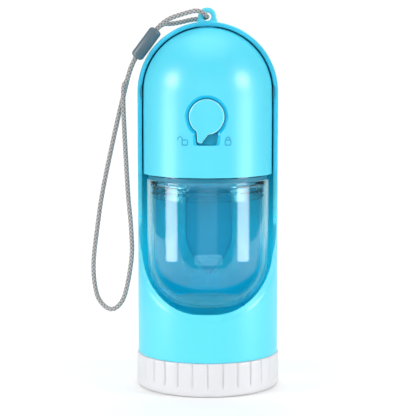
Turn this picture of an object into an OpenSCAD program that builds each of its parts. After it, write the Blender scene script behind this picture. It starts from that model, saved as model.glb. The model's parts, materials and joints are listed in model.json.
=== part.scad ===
// Dog travel water bottle: a capsule bottle that folds out of its drinking trough,
// with a push-and-lock water button, a food compartment and a wrist lanyard.
// Millimetres. +Z is up, the front (button side) faces -Y, the base stands on z = 0.

/* [Trough shell] */
// Outer radius of the trough shell
shell_r = 36.5; // [36:0.5:40]
// Wall of the trough shell
shell_wall = 2.2; // [1.8:0.1:2.6]
// Height of the dome centre, where the bottle's fold axis runs
fold_z = 153; // [145:1:165]
// Distance from the fold axis forward to the flat rim of the trough
rim_reach = 6.5; // [5.5:0.5:10]
// Side-view radius of the scooped rim where it runs to the front lip
scoop_r = 34; // [30:1:40]
// Height where the rim starts to curve forward
scoop_z = 91.5; // [88:0.5:98]
// Height of the front lip of the trough above the floor
lip_z = 42.3; // [40:0.1:46]
// Corner radius of the trough's mouth
mouth_corner_r = 30; // [24:1:31]
// Width of the stepped band round the lower part of the mouth
band_w = 3.2; // [2:0.2:5]
// Depth of the stepped band
band_depth = 0.35; // [0.2:0.05:0.6]
// Thickness of the floor that parts the trough from the food compartment
divider_t = 2; // [1.6:0.2:3]
// Height of the trough's floor above the ground
divider_top_z = 37; // [34:0.5:37.5]
// Half width of the water tongue on the trough's back wall
tongue_half_w = 12.6; // [8:0.2:16]
// Height of the tongue's rounded end above the lip
tongue_rise = 11.4; // [8:0.2:20]
// Depth of the water tongue in the back wall
tongue_depth = 0.6; // [0.3:0.1:1]

/* [Base cap] */
// How far the base cap stands out past the shell
cap_out = 0.75; // [0.5:0.25:4]
// Height of the base cap
cap_h = 17.5; // [15:0.5:20]
// Thickness of the base cap's floor
cap_floor = 2.2; // [1.6:0.2:3]
// Number of grip grooves round the base cap
groove_count = 30; // [20:1:40]
// Radius of one grip groove
groove_r = 0.45; // [0.3:0.05:0.6]
// Height at which the grip grooves end above the floor
groove_low_z = 5; // [3:0.5:8]
// Rounding of the base cap's bottom edge
cap_round = 2.5; // [1:0.5:3]
// Step from the shell's inner wall in to its threaded skirt
skirt_step = 1.1; // [0.9:0.1:1.7]
// Height at which the skirt ends above the floor
skirt_low_z = 4; // [3.8:0.1:5]

/* [Bottle head] */
// Gap between the bottle head and the trough shell
head_gap = 0.8; // [0.6:0.1:1.2]
// Wall of the bottle head
head_wall = 2.2; // [1.8:0.1:2.6]
// Height of the bottle head's lower edge
head_low_z = 110.1; // [108:0.1:112]
// Radius of the fold pins
pin_r = 3.2; // [2.5:0.1:3.4]
// Radial running clearance of pins and stems
run_gap = 0.05; // [0.02:0.01:0.08]

/* [Water tank] */
// Step from the bottle head's skin in to the clear tank
tank_step = 1.7; // [1.5:0.1:2.5]
// Wall of the clear tank
tank_wall = 1.9; // [1.5:0.1:2.2]
// Gap between the tank's rim and the head's lower edge
rim_gap = 1.8; // [1.2:0.1:2.4]
// Radius of the tank's rounded bottom corner
tank_corner_r = 25; // [20:1:26]
// Height of the tank's flat bottom
tank_low_z = 42.3; // [41.5:0.1:46]
// How deep the tank's rounding is cut off by its flat bottom
tank_flat_cut = 2; // [1:0.25:3]

/* [Threads] */
// Rise of each thread in one turn
thread_lead = 3; // [2.6:0.1:3.2]
// Height of the thread ridges
thread_h = 1.0; // [0.8:0.05:1.1]
// Gap between facing threads and cores
thread_gap = 0.4; // [0.3:0.05:0.5]
// Turns of thread on the bottle's neck
neck_turns = 2.5; // [1.5:0.25:2.5]

/* [Water button] */
// Height of the button's axis
button_z = 141.6; // [138:0.1:142]
// Radius of the button's round face
button_r = 9.1; // [8.5:0.1:10]
// Distance from the button's axis to the end of its pointer
pointer_l = 14.1; // [13.5:0.1:15]
// Radius of the pointer's round end
pointer_r = 1.6; // [1.3:0.1:2]
// Half width of the pointer where it leaves the disc
pointer_root = 3.1; // [2.5:0.1:4]
// Angle of the pointer left of straight down, unlocked
pointer_angle = 15.3; // [12:0.1:16]
// Travel of the button when it is pressed
press_travel = 3; // [2:0.25:3]
// Width of the dished recess round the button
dish_w = 2; // [1.5:0.1:2.4]
// Gap between the button and its recess
button_gap = 0.35; // [0.25:0.05:0.5]
// Corner radius of the slot that the pointer swings in
slot_round = 1.6; // [1:0.1:2.5]
// Distance of the padlock marks from the button's axis
mark_out = 10.9; // [10:0.1:13]
// Radius of the valve stem
stem_r = 2.5; // [2:0.1:3]
// Mean radius of the return spring
spring_r = 4.4; // [4:0.1:4.8]
// Radius of the return spring's wire
spring_wire_r = 0.4; // [0.3:0.05:0.5]
// Turns of the return spring
spring_turns = 5; // [4:1:6]

/* [Outlet] */
// Radius of the outlet well at the back of the head
outlet_r = 11; // [9:0.5:12]
// Distance from the centre to the outlet's plate
outlet_plate_y = 19; // [18:0.5:21]
// Thickness of the outlet's plate
outlet_plate_t = 2; // [1.6:0.2:3]
// Radius of the water port
port_r = 4.5; // [4:0.1:5]

/* [Lanyard] */
// Outer radius of the lanyard lug
lug_r = 4.7; // [4.4:0.1:5.2]
// Height of the lug's eye above the dome's top
eye_rise = 2.3; // [2.2:0.1:3]
// Radius of the lug's eye
eye_r = 2.1; // [1.8:0.1:2.1]
// Thickness of the lug
lug_t = 5; // [4:0.5:6]
// Radius of the lanyard cord
cord_r = 1.25; // [1.1:0.05:1.25]
// Length of the cord sleeve
sleeve_l = 18; // [16:0.5:20]

/* [Hidden] */

eps = 0.01;
far = 100;
shell_in_r = shell_r - shell_wall;
lip_in = 0.3;
mouth_half_w = shell_in_r - lip_in;
over = 1;
sink = 0.5;
head_r = shell_in_r - head_gap;
head_in_r = head_r - head_wall;
dome_top_z = fold_z + shell_r;
band_reach = 12;
tongue_top_z = fold_z - shell_r;
tongue_low_z = lip_z + tongue_rise + tongue_half_w;
cap_r = shell_r + cap_out;
cap_gap = 0.2;
skirt_r = shell_in_r - skirt_step;
skirt_t = 2;
skirt_in_r = skirt_r - skirt_t;
shoulder_t = 2.6;
ledge_w = 3;
ledge_t = 2;
seat_gap = 0.1;
divider_r = shell_in_r - 2 * seat_gap;
divider_low_z = divider_top_z - divider_t;
ledge_low_z = divider_low_z - ledge_t;
ledge_r = shell_in_r - ledge_w;
seal_t = 1;
seal_w = 1.4;
seal_in_r = ledge_r + (ledge_w - 2 * seat_gap - seal_w) / 2;
seal_out_r = seal_in_r + seal_w;
skirt_thread_in = 2;
skirt_thread_z = skirt_low_z + skirt_thread_in;
groove_out = 0.05;
cap_in_r = skirt_r + thread_h + thread_gap;
base_seal_t = skirt_low_z - cap_floor - seat_gap;
tank_r = head_r - tank_step;
tank_in_r = tank_r - tank_wall;
tank_thread_turns = 1.5;
tank_top_z = head_low_z - rim_gap;
neck_r = tank_in_r - thread_h - thread_gap;
neck_t = 2.5;
neck_len = 9.8;
neck_low_z = tank_top_z - neck_len;
neck_thread_in = 1.1;
neck_thread_z = neck_low_z + neck_thread_in;
flange_t = 2;
flange_z = head_low_z + 2 * seat_gap;
shelf_w = 2;
shelf_t = 1.8;
collar_seal_w = 1.2;
collar_seal_t = 1.4;
ridge_root = 1.6;
ridge_crest = 0.7;
steps_per_turn = 36;
pocket_r = button_r + button_gap;
slot_side_gap = 0.5;
slot_half_w = pointer_l * sin(pointer_angle) + pointer_r + slot_side_gap;
slot_low = pointer_l + button_gap;
button_wall = 1.6;
button_depth = 5.3;
face_t = 3.4;
pointer_sink = 1;
pocket_floor_y = -head_r + button_depth + press_travel;
pocket_wall = 1.6;
well_gap = 0.8;
well_r = spring_r + spring_wire_r + well_gap;
well_depth = 6;
dish_depth = 0.9;
gland_wall = 3.2;
gland_t = 1.2;
ring_wire_r = 0.7;
ring_pocket_r = stem_r + run_gap + 2 * ring_wire_r + seat_gap;
ring_pocket_t = 2 * ring_wire_r + 2 * seat_gap;
stop_gap = 0.3;
button_skirt_y = pocket_floor_y - press_travel - stop_gap;
face_in_y = -head_r + face_t;
clip_t = 1.2;
clip_rim = 1.4;
plate_in_y = outlet_plate_y - outlet_plate_t;
seat_t = 0.7;
outlet_wall = 2;
seal_y = outlet_plate_y + seat_t + seat_gap;
valve_seal_t = 2.4;
seal_lip = 2.5;
stem_step = 0.8;
screw_r = 1.1;
screw_l = 6.5;
screw_head_r = 2.4;
screw_head_t = 1.6;
screw_slot = [3.6, 1.6, 0.7];
screw_tip_gap = 0.5;
washer_plate_t = 0.8;
skin_inset = 0.5;
pin_flange_w = 1.6;
pin_flange_r = pin_r + pin_flange_w;
pin_flange_t = 1.5;
pin_in_x = sqrt(pow(head_in_r, 2) - pow(pin_flange_r, 2)) - seat_gap / 2;
socket_depth = 1.2;
socket_x = shell_in_r + socket_depth;
pin_out_x = socket_x - seat_gap;
washer_r = 2 * pin_r;
washer_t = 0.5;
mark_depth = 0.25;
mark_line = 0.5;
mark_w = 2.8;
mark_low = -pointer_l;
mark_bow_r = 1.25;
mark_bow_leg = 0.3;
eye_z = dome_top_z + eye_rise;
eye_x = -0.3;

// Centreline of the lanyard cord, from its end in the sleeve over the lug and round the loop
cord_route = [
    [-31.3, -4.4, 178.4], [-28.6, -4.4, 182], [-25.6, -4.4, 186], [-21.6, -5, 189.4],
    [-17.2, -5.4, 191.6], [-8.6, -5.9, 194.2], [-5.2, -5.6, 194.6],
    [-2.4, -4.6, 193.6], [-0.7, -2.6, 192.2], [-0.3, 0, 191.8], [-0.8, 2.6, 191.6],
    [-2.6, 4.4, 191.2], [-5.4, 5.2, 190.8], [-9, 4.9, 190.3], [-14.4, 3, 189],
    [-19.2, 1.2, 188.2], [-22.6, -0.8, 188], [-25.6, -1.8, 186], [-28.6, -1.8, 182],
    [-34.6, -1.8, 174], [-37.6, -1.8, 170], [-40.2, -1.6, 164.5],
    [-43.4, -1, 152.5], [-47, 0.4, 138.5], [-54.7, 2, 103.8],
    [-58, 2, 83.2], [-60.3, 1.4, 62.5], [-58.9, 0, 48.4], [-55.4, -2.2, 42],
    [-50.6, -4.2, 39.6], [-46, -5.4, 42.4], [-42.6, -5.8, 50], [-39.6, -5.4, 68],
    [-40, -4.8, 84], [-41.6, -4.6, 104], [-43.6, -4.6, 150],
    [-41.4, -4.4, 160], [-37.6, -4.4, 170], [-34.6, -4.4, 174], [-31.9, -4.4, 177.6]];
sleeve_middle = [-31.6, -3.1, 178];
sleeve_tilt = atan2(3, 4);
strand_gap = 2.6;
sleeve_gap = 0.12;
sleeve_wall = 1.9;
cord_steps = 2;
cord_sides = 8;
spring_steps = 18;
spring_sides = 6;

// ---------- shared shapes ----------

// Half section of a capsule: a cylinder from low_z that ends in a dome centred at top_z
module capsule_2d(r, low_z, top_z) {
    translate([0, low_z]) square([r, top_z - low_z]);
    intersection() {
        translate([0, top_z]) circle(r = r, $fn = 96);
        translate([0, top_z - eps]) square([r + over, r + over]);
    }
}

// Solid capsule about the Z axis
module capsule(r, low_z, top_z) {
    rotate_extrude($fn = 120) capsule_2d(r, low_z, top_z);
}

// Ring about the Z axis
module ring(r_out, r_in, z, h) {
    translate([0, 0, z]) rotate_extrude($fn = 120) translate([r_in, 0]) square([r_out - r_in, h]);
}

// Cylinder along Y from y0 to y1 on the button's axis
module button_bar(r, y0, y1) {
    translate([0, y0, button_z]) rotate([-90, 0, 0]) cylinder(r = r, h = y1 - y0, $fn = 96);
}

// A flat outline in x and z, pushed along Y from y0 to y1
module face_prism(y0, y1) {
    translate([0, y1, 0]) rotate([90, 0, 0]) linear_extrude(y1 - y0) children();
}

// Cylinder along X from x0 to x1 on the fold axis
module fold_bar(r, x0, x1) {
    translate([x0, 0, fold_z]) rotate([0, 90, 0]) cylinder(r = r, h = x1 - x0, $fn = 96);
}

// Helical ridge: side = 1 stands out of a core of radius r, side = -1 stands into a bore
module thread_ridge(r, z0, turns, side) {
    steps = round(turns * steps_per_turn);
    r_root = r - side * sink;
    r_tip = r + side * thread_h;
    rise = thread_lead / steps_per_turn;
    points = [for (i = [0:steps]) let (a = i * 360 / steps_per_turn, z = z0 + i * rise)
        each [[r_root * cos(a), r_root * sin(a), z - ridge_root / 2],
              [r_tip * cos(a), r_tip * sin(a), z - ridge_crest / 2],
              [r_tip * cos(a), r_tip * sin(a), z + ridge_crest / 2],
              [r_root * cos(a), r_root * sin(a), z + ridge_root / 2]]];
    flip = side < 0;
    quads = [for (i = [0:steps - 1], k = [0:3]) let (b = 4 * i, n = (k + 1) % 4)
        [b + k, b + 4 + k, b + 4 + n, b + n]];
    ends = [[0, 1, 2, 3], [4 * steps + 3, 4 * steps + 2, 4 * steps + 1, 4 * steps]];
    faces = concat(quads, ends);
    turned = [for (f = faces) flip ? f : [for (j = [len(f) - 1:-1:0]) f[j]]];
    polyhedron(points = points, faces = turned, convexity = 10);
}

// Upright slot from low to top, with its two lower corners rounded
module round_foot_2d(half, low, top, corner) {
    translate([-half, low + corner]) square([2 * half, top - low - corner]);
    for (s = [-1, 1]) translate([s * (half - corner), low + corner]) circle(r = corner, $fn = 120);
    translate([-(half - corner), low]) square([2 * (half - corner), corner + over]);
}

// ---------- trough ----------

// Mouth of the trough: straight sides, an arch round the dome centre, rounded lower corners
module mouth_2d(grow) {
    translate([0, fold_z]) circle(r = mouth_half_w + grow, $fn = 120);
    round_foot_2d(mouth_half_w + grow, lip_z - grow, fold_z, mouth_corner_r + grow);
}

module scoop_cut() {
    translate([-far / 2, 0, 0]) rotate([90, 0, 90]) linear_extrude(far) {
        translate([-rim_reach - scoop_r, scoop_z]) circle(r = scoop_r, $fn = 120);
        translate([-rim_reach - far, scoop_z]) square([far, 2 * far]);
    }
}

module tongue_2d() {
    translate([-tongue_half_w, tongue_low_z]) square([2 * tongue_half_w, tongue_top_z - tongue_low_z]);
    translate([0, tongue_low_z]) circle(r = tongue_half_w, $fn = 96);
}

module trough_shell() {
    color("deepskyblue") difference() {
        union() {
            difference() {
                union() {
                    capsule(shell_r, cap_h + cap_gap, fold_z);
                    ring(skirt_r, skirt_in_r, skirt_low_z, cap_h + shoulder_t - skirt_low_z);
                    lug_body();
                }
                capsule(shell_in_r, divider_low_z, fold_z);
                ring(shell_in_r, 0, cap_h + shoulder_t, ledge_low_z - cap_h - shoulder_t);
                ring(ledge_r, 0, ledge_low_z - over, ledge_t + 2 * over);
                ring(seal_out_r, seal_in_r, divider_low_z - seal_t, seal_t + over);
                ring(skirt_in_r, 0, 0, cap_h + 2 * shoulder_t);
            }
            thread_ridge(skirt_r, skirt_thread_z, 1, 1);
        }
        scoop_cut();
        face_prism(-far / 2, 0) mouth_2d(0);
        intersection() {
            face_prism(-far / 2, -band_reach) mouth_2d(band_w);
            ring(shell_r + over, shell_r - band_depth, 0, lip_z + mouth_corner_r);
        }
        intersection() {
            face_prism(0, far / 2) tongue_2d();
            ring(shell_in_r + tongue_depth, shell_in_r - over, divider_top_z, fold_z - divider_top_z);
        }
        for (s = [-1, 1]) {
            scale([s, 1, 1]) fold_bar(pin_r + run_gap, pin_in_x, socket_x);
            scale([s, 1, 1]) fold_bar(washer_r, shell_in_r - 3 * over, shell_in_r + eps);
        }
        translate([eye_x, 0, eye_z]) rotate([90, 0, 0])
            cylinder(r = eye_r, h = far / 2, center = true, $fn = 64);
    }
}

module lug_body() {
    face_prism(-lug_t / 2, lug_t / 2) {
        translate([0, eye_z]) circle(r = lug_r, $fn = 64);
        translate([-lug_r, dome_top_z - shell_wall]) square([2 * lug_r, eye_z - dome_top_z + shell_wall]);
    }
}

module divider_disc() {
    color("deepskyblue") {
        ring(divider_r, 0, divider_low_z, divider_t);
        ring(ledge_r - seat_gap, 0, divider_low_z - seal_t, seal_t);
    }
}

module divider_seal() {
    color("white") ring(seal_out_r - seat_gap, seal_in_r + seat_gap, divider_low_z - seal_t, seal_t);
}

// ---------- base ----------

module cap_2d() {
    intersection() {
        union() {
            translate([0, cap_round]) square([cap_r, cap_h - cap_round]);
            translate([cap_r - cap_round, cap_round]) circle(r = cap_round, $fn = 64);
            square([cap_r - cap_round, cap_h]);
        }
        square([cap_r + over, cap_h]);
    }
}

module base_cap() {
    color("whitesmoke") difference() {
        union() {
            difference() {
                rotate_extrude($fn = 120) cap_2d();
                ring(cap_in_r, 0, cap_floor, cap_h);
            }
            thread_ridge(cap_in_r, skirt_thread_z + thread_lead / 2, 1, -1);
        }
        for (i = [0:groove_count - 1]) rotate(i * 360 / groove_count - 90)
            translate([cap_r + groove_out, 0, groove_low_z]) cylinder(r = groove_r, h = cap_h, $fn = 24);
    }
}

module base_gasket() {
    color("silver") ring(skirt_r, skirt_in_r, cap_floor + seat_gap / 2, base_seal_t);
}

// ---------- bottle head ----------

// Outline of the button's recess, seen from the front
module pocket_2d(grow) {
    circle(r = pocket_r + grow, $fn = 96);
    round_foot_2d(slot_half_w + grow, -slot_low - grow, 0, slot_round + grow);
}

module head_shell() {
    boss_y = pocket_floor_y + pocket_wall;
    well_y = pocket_floor_y + well_depth;
    color("deepskyblue") difference() {
        union() {
            difference() {
                capsule(head_r, head_low_z, fold_z);
                capsule(head_in_r, head_low_z - over, fold_z);
            }
            intersection() {
                capsule(head_r - skin_inset, head_low_z + over, fold_z);
                union() {
                    translate([0, 0, button_z]) face_prism(-far / 2, boss_y) pocket_2d(pocket_wall);
                    button_bar(well_r + pocket_wall, boss_y - over, well_y + gland_wall);
                    button_bar(outlet_r + outlet_wall, plate_in_y, far / 2);
                }
            }
            ring(head_in_r + sink, head_in_r - shelf_w, flange_z + flange_t, shelf_t);
        }
        translate([0, 0, button_z]) face_prism(-far / 2, pocket_floor_y) pocket_2d(0);
        difference() {
            button_bar(button_r + dish_w, -far / 2, pocket_floor_y);
            capsule(head_r - dish_depth, head_low_z - over, fold_z);
        }
        button_bar(well_r, -far / 2, well_y);
        button_bar(ring_pocket_r, well_y - over, well_y + ring_pocket_t);
        button_bar(stem_r + 3 * run_gap, well_y - over, well_y + 2 * gland_wall);
        button_bar(outlet_r, outlet_plate_y, far / 2);
        button_bar(port_r, plate_in_y - over, outlet_plate_y + over);
        for (s = [-1, 1]) scale([s, 1, 1]) fold_bar(pin_r, pin_in_x, far / 2);
        translate([0, 0, button_z]) mark_cut();
    }
}

// Moulded marks beside the slot: an open padlock on the left, a closed padlock on the right
module mark_cut() {
    intersection() {
        face_prism(-far / 2, 0) for (s = [-1, 1]) {
            shift = s < 0 ? mark_bow_r + mark_w / 2 - mark_line / 2 : 0;
            translate([s * mark_out, mark_low]) lock_body_2d();
            translate([s * mark_out - shift, mark_low + mark_w]) lock_bow_2d();
        }
        ring(head_r + over, head_r - mark_depth, -far / 2, far);
    }
}

module lock_body_2d() {
    difference() {
        translate([-mark_w / 2, 0]) square([mark_w, mark_w]);
        translate([mark_line - mark_w / 2, mark_line]) square(mark_w - 2 * mark_line);
    }
}

module lock_bow_2d() {
    intersection() {
        difference() {
            circle(r = mark_bow_r, $fn = 48);
            circle(r = mark_bow_r - mark_line, $fn = 48);
        }
        translate([-2 * mark_bow_r, -mark_bow_leg]) square(4 * mark_bow_r);
    }
}

module neck_collar() {
    color("skyblue") union() {
        ring(neck_r, neck_r - neck_t, neck_low_z, flange_z + flange_t - neck_low_z);
        ring(head_in_r - 2 * seat_gap, neck_r - neck_t, flange_z, flange_t);
        thread_ridge(neck_r, neck_thread_z, neck_turns, 1);
    }
}

module collar_seal() {
    r = head_in_r - shelf_w - seat_gap;
    color("white") ring(r, r - collar_seal_w, flange_z + flange_t, collar_seal_t);
}

module neck_gasket() {
    color("white") ring(head_in_r - 2 * seat_gap, neck_r + seat_gap, tank_top_z + seat_gap,
        flange_z - tank_top_z - seat_gap);
}

module tank_2d(inset) {
    r = tank_r - inset;
    corner = tank_corner_r - inset;
    mid = tank_low_z - tank_flat_cut + tank_corner_r;
    low = tank_low_z + inset;
    intersection() {
        union() {
            translate([0, mid]) square([r, tank_top_z - mid + (inset > 0 ? over : 0)]);
            translate([tank_r - tank_corner_r, mid]) circle(r = corner, $fn = 120);
            translate([0, low]) square([tank_r - tank_corner_r, mid - low + eps]);
        }
        translate([0, low]) square([r + over, 2 * far]);
    }
}

module water_tank() {
    color("lightcyan", 0.4) union() {
        rotate_extrude($fn = 120) difference() {
            tank_2d(0);
            tank_2d(tank_wall);
        }
        thread_ridge(tank_in_r, neck_thread_z + tank_thread_turns * thread_lead, 1, -1);
    }
}

// ---------- fold pins ----------

module pivot_pin(s) {
    color("silver") scale([s, 1, 1]) {
        fold_bar(pin_r, pin_in_x, pin_out_x);
        fold_bar(pin_flange_r, pin_in_x - pin_flange_t, pin_in_x);
    }
}

module left_pivot_pin() { pivot_pin(-1); }
module right_pivot_pin() { pivot_pin(1); }

module pivot_washer(s) {
    color("white") scale([s, 1, 1]) difference() {
        fold_bar(washer_r - stop_gap, shell_in_r - washer_t, shell_in_r);
        fold_bar(pin_r + run_gap, shell_in_r - washer_t - over, shell_in_r + over);
    }
}

module left_pivot_washer() { pivot_washer(-1); }
module right_pivot_washer() { pivot_washer(1); }

// ---------- button and valve ----------

// Disc that runs out into a pointer at the lower left, from in front of the face to the skirt's back
module button_block() {
    face_prism(-far / 2, button_skirt_y) circle(r = button_r, $fn = 96);
    rotate([0, pointer_angle, 0]) {
        face_prism(-far / 2, button_skirt_y)
            translate([0, pointer_r - pointer_l]) circle(r = pointer_r, $fn = 48);
        face_prism(-far / 2, button_skirt_y)
            polygon([[-pointer_root, pointer_sink - button_r], [pointer_root, pointer_sink - button_r],
                [pointer_r, pointer_r - pointer_l], [-pointer_r, pointer_r - pointer_l]]);
    }
}

module lock_button() {
    color("deepskyblue") difference() {
        intersection() {
            capsule(head_r, head_low_z, fold_z);
            translate([0, 0, button_z]) button_block();
        }
        button_bar(button_r - button_wall, face_in_y, 0);
    }
}

module button_clip() {
    color("white") difference() {
        button_bar(spring_r + clip_rim, face_in_y, face_in_y + clip_t);
        button_bar(stem_r, -far / 2, 0);
    }
}

// Coil spring as one unbroken tube with flat-lying ends
module return_spring() {
    y0 = face_in_y + clip_t + spring_wire_r + seat_gap;
    y1 = pocket_floor_y + well_depth - gland_t - spring_wire_r - seat_gap;
    n = spring_turns * spring_steps;
    sides = spring_sides;
    points = [for (i = [0:n], k = [0:sides - 1])
        let (a = i * 360 / spring_steps, b = k * 360 / sides, r = spring_r + spring_wire_r * cos(b))
        [r * cos(a), y0 + (y1 - y0) * i / n + spring_wire_r * sin(b), button_z + r * sin(a)]];
    quads = [for (i = [0:n - 1], k = [0:sides - 1]) let (m = (k + 1) % sides)
        each [[i * sides + k, (i + 1) * sides + k, (i + 1) * sides + m],
              [i * sides + k, (i + 1) * sides + m, i * sides + m]]];
    ends = [[for (k = [0:sides - 1]) k], [for (k = [sides - 1:-1:0]) n * sides + k]];
    echo("least gap between spring turns", (y1 - y0) / spring_turns - 2 * spring_wire_r);
    color("silver") polyhedron(points = points, faces = concat(quads, ends), convexity = 10);
}

module valve_stem() {
    y1 = seal_y + valve_seal_t;
    color("white") difference() {
        union() {
            button_bar(stem_r, face_in_y, seal_y);
            button_bar(stem_r - stem_step, seal_y - over, y1);
        }
        button_bar(screw_r, y1 - screw_l, y1 + over);
    }
}

module stem_gland() {
    y1 = pocket_floor_y + well_depth;
    color("silver") difference() {
        button_bar(well_r - seat_gap, y1 - gland_t, y1);
        button_bar(stem_r + run_gap, y1 - 2 * gland_t, y1 + over);
    }
}

module stem_o_ring() {
    y0 = pocket_floor_y + well_depth + seat_gap;
    color("black") translate([0, y0 + ring_wire_r, button_z]) rotate([90, 0, 0])
        rotate_extrude($fn = 72) translate([stem_r + run_gap + ring_wire_r, 0])
            circle(r = ring_wire_r, $fn = 24);
}

module valve_seal() {
    color("white") difference() {
        button_bar(port_r + seal_lip, seal_y, seal_y + valve_seal_t);
        button_bar(stem_r - stem_step, seal_y - over, seal_y + valve_seal_t + over);
    }
}

module seal_washer() {
    y0 = seal_y + valve_seal_t;
    color("silver") difference() {
        button_bar(port_r, y0, y0 + washer_plate_t);
        button_bar(screw_r, y0 - over, y0 + washer_plate_t + over);
    }
}

module seal_screw() {
    y0 = seal_y + valve_seal_t + washer_plate_t;
    color("silver") difference() {
        union() {
            button_bar(screw_r, seal_y + valve_seal_t - screw_l + screw_tip_gap, y0);
            button_bar(screw_head_r, y0, y0 + screw_head_t);
        }
        translate([0, y0 + screw_head_t, button_z]) cube(screw_slot, center = true);
    }
}

module outlet_seat() {
    color("white") difference() {
        button_bar(outlet_r - 2 * seat_gap, outlet_plate_y, outlet_plate_y + seat_t);
        button_bar(port_r, outlet_plate_y - over, outlet_plate_y + seat_t + over);
    }
}

// ---------- lanyard ----------

// Point at t of the smooth curve through four neighbouring route points
function cord_point(a, b, c, d, t) = 0.5 * (2 * b + (c - a) * t
    + (2 * a - 5 * b + 4 * c - d) * t * t + (3 * b - a - 3 * c + d) * t * t * t);

function route(i) = cord_route[min(max(i, 0), len(cord_route) - 1)];

function along(v) = v / norm(v);

// Side directions that follow the curve without twisting
function sides_of(dirs, i, last) = i == len(dirs) ? []
    : let (v = along(last - (last * dirs[i]) * dirs[i])) concat([v], sides_of(dirs, i + 1, v));

module lanyard_cord() {
    last = len(cord_route) - 1;
    line = concat([for (i = [0:last - 1], k = [0:cord_steps - 1])
        cord_point(route(i - 1), route(i), route(i + 1), route(i + 2), k / cord_steps)],
        [cord_route[last]]);
    n = len(line);
    dirs = [for (i = [0:n - 1]) along(line[min(i + 1, n - 1)] - line[max(i - 1, 0)])];
    side = sides_of(dirs, 0, [0, 1, 0]);
    points = [for (i = [0:n - 1], k = [0:cord_sides - 1])
        let (a = k * 360 / cord_sides)
        line[i] + cord_r * (cos(a) * side[i] + sin(a) * cross(dirs[i], side[i]))];
    quads = [for (i = [0:n - 2], k = [0:cord_sides - 1]) let (m = (k + 1) % cord_sides)
        each [[i * cord_sides + k, (i + 1) * cord_sides + m, (i + 1) * cord_sides + k],
              [i * cord_sides + k, i * cord_sides + m, (i + 1) * cord_sides + m]]];
    ends = [[for (k = [cord_sides - 1:-1:0]) k],
            [for (k = [0:cord_sides - 1]) (n - 1) * cord_sides + k]];
    lengths = [for (i = [0:n - 2]) norm(line[i + 1] - line[i])];
    echo("rings", n, "cord length", lengths * [for (i = [0:n - 2]) 1]);
    color("gray") polyhedron(points = points, faces = concat(quads, ends), convexity = 10);
}

module sleeve_2d(r, apart) {
    for (s = [-1, 1]) translate([0, s * apart / 2]) circle(r = r, $fn = 64);
    translate([-r, -apart / 2]) square([2 * r, apart]);
}

module lanyard_sleeve() {
    bore_r = cord_r + sleeve_gap;
    color("slategray") translate(sleeve_middle) rotate([0, sleeve_tilt, 0])
        translate([0, 0, -sleeve_l / 2]) linear_extrude(sleeve_l) difference() {
            sleeve_2d(bore_r + sleeve_wall, strand_gap);
            sleeve_2d(bore_r, strand_gap);
        }
}

trough_shell();
divider_disc();
divider_seal();
base_cap();
base_gasket();
head_shell();
neck_collar();
collar_seal();
neck_gasket();
water_tank();
left_pivot_pin();
right_pivot_pin();
left_pivot_washer();
right_pivot_washer();
lock_button();
button_clip();
return_spring();
valve_stem();
stem_gland();
stem_o_ring();
valve_seal();
seal_washer();
seal_screw();
outlet_seat();
lanyard_cord();
lanyard_sleeve();
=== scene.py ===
# %% [markdown]
# # A dog travel water bottle
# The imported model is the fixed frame: it says where every piece is, how big it is and which body
# carries it. This lesson dresses that frame. Each step first says what the piece is on the real
# bottle, how it could be made, and why one way was chosen.

# %% Load the frame
import json
import math

import bmesh
import bpy
import numpy as np
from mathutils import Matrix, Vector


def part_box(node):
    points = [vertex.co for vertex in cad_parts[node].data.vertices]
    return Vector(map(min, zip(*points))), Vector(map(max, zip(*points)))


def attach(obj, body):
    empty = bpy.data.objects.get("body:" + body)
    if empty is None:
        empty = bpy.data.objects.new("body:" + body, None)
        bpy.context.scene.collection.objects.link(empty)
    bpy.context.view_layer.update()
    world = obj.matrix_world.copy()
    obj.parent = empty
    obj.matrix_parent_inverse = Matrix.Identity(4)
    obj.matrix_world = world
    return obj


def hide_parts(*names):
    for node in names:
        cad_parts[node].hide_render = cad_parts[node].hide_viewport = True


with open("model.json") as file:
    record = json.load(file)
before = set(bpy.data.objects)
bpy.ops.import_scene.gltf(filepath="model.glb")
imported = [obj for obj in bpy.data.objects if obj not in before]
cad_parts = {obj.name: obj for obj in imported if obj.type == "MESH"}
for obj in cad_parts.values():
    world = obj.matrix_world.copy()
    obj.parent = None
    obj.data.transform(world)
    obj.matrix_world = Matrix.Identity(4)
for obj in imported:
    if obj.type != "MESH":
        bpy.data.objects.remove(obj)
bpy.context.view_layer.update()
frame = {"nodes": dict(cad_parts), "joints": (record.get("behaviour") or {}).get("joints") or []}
MM = 0.001
joints = {joint["name"]: joint for joint in frame["joints"]}

# %% [markdown]
# ## Sizes from the frame
# The big sizes are read from the frame's own boxes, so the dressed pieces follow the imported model.
# Small ones that no box shows, such as walls and roundings, are named here in millimetres.

# %% Sizes
_, shell_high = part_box("trough_shell")
_, cap_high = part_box("base_cap")
head_low, head_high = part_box("head_shell")
tank_low, tank_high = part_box("water_tank")
button_low, button_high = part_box("lock_button")
SHELL_R = shell_high[0]
HEAD_R = head_high[0]
TANK_R = tank_high[0]
CAP_R = cap_high[0]
FOLD_Z = joints["bottle_fold"]["pos_m"][2]
BUTTON_Z = joints["lock_turn"]["pos_m"][2]
BUTTON_EASE = 0.25 * MM
BUTTON_R = button_high[0] - BUTTON_EASE
WALL = 2.2 * MM
SHELL_IN_R = SHELL_R - WALL
CAP_TOP = cap_high[2]
CAP_GAP = 0.2 * MM
SHELL_BASE = CAP_TOP + CAP_GAP
print("shell radius", SHELL_R, "head radius", HEAD_R, "fold axis at", FOLD_Z)

# %% [markdown]
# ## Camera
# The picture was taken from straight in front, a little above the bottle's middle, with a long
# lens: the base shows an open ellipse while the top of the dome is seen level. A camera 0.74 m
# away and 0.17 m up, tilted gently down, gives both. The button stands a hair left of the middle,
# so the camera is about one degree to the right.

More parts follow.
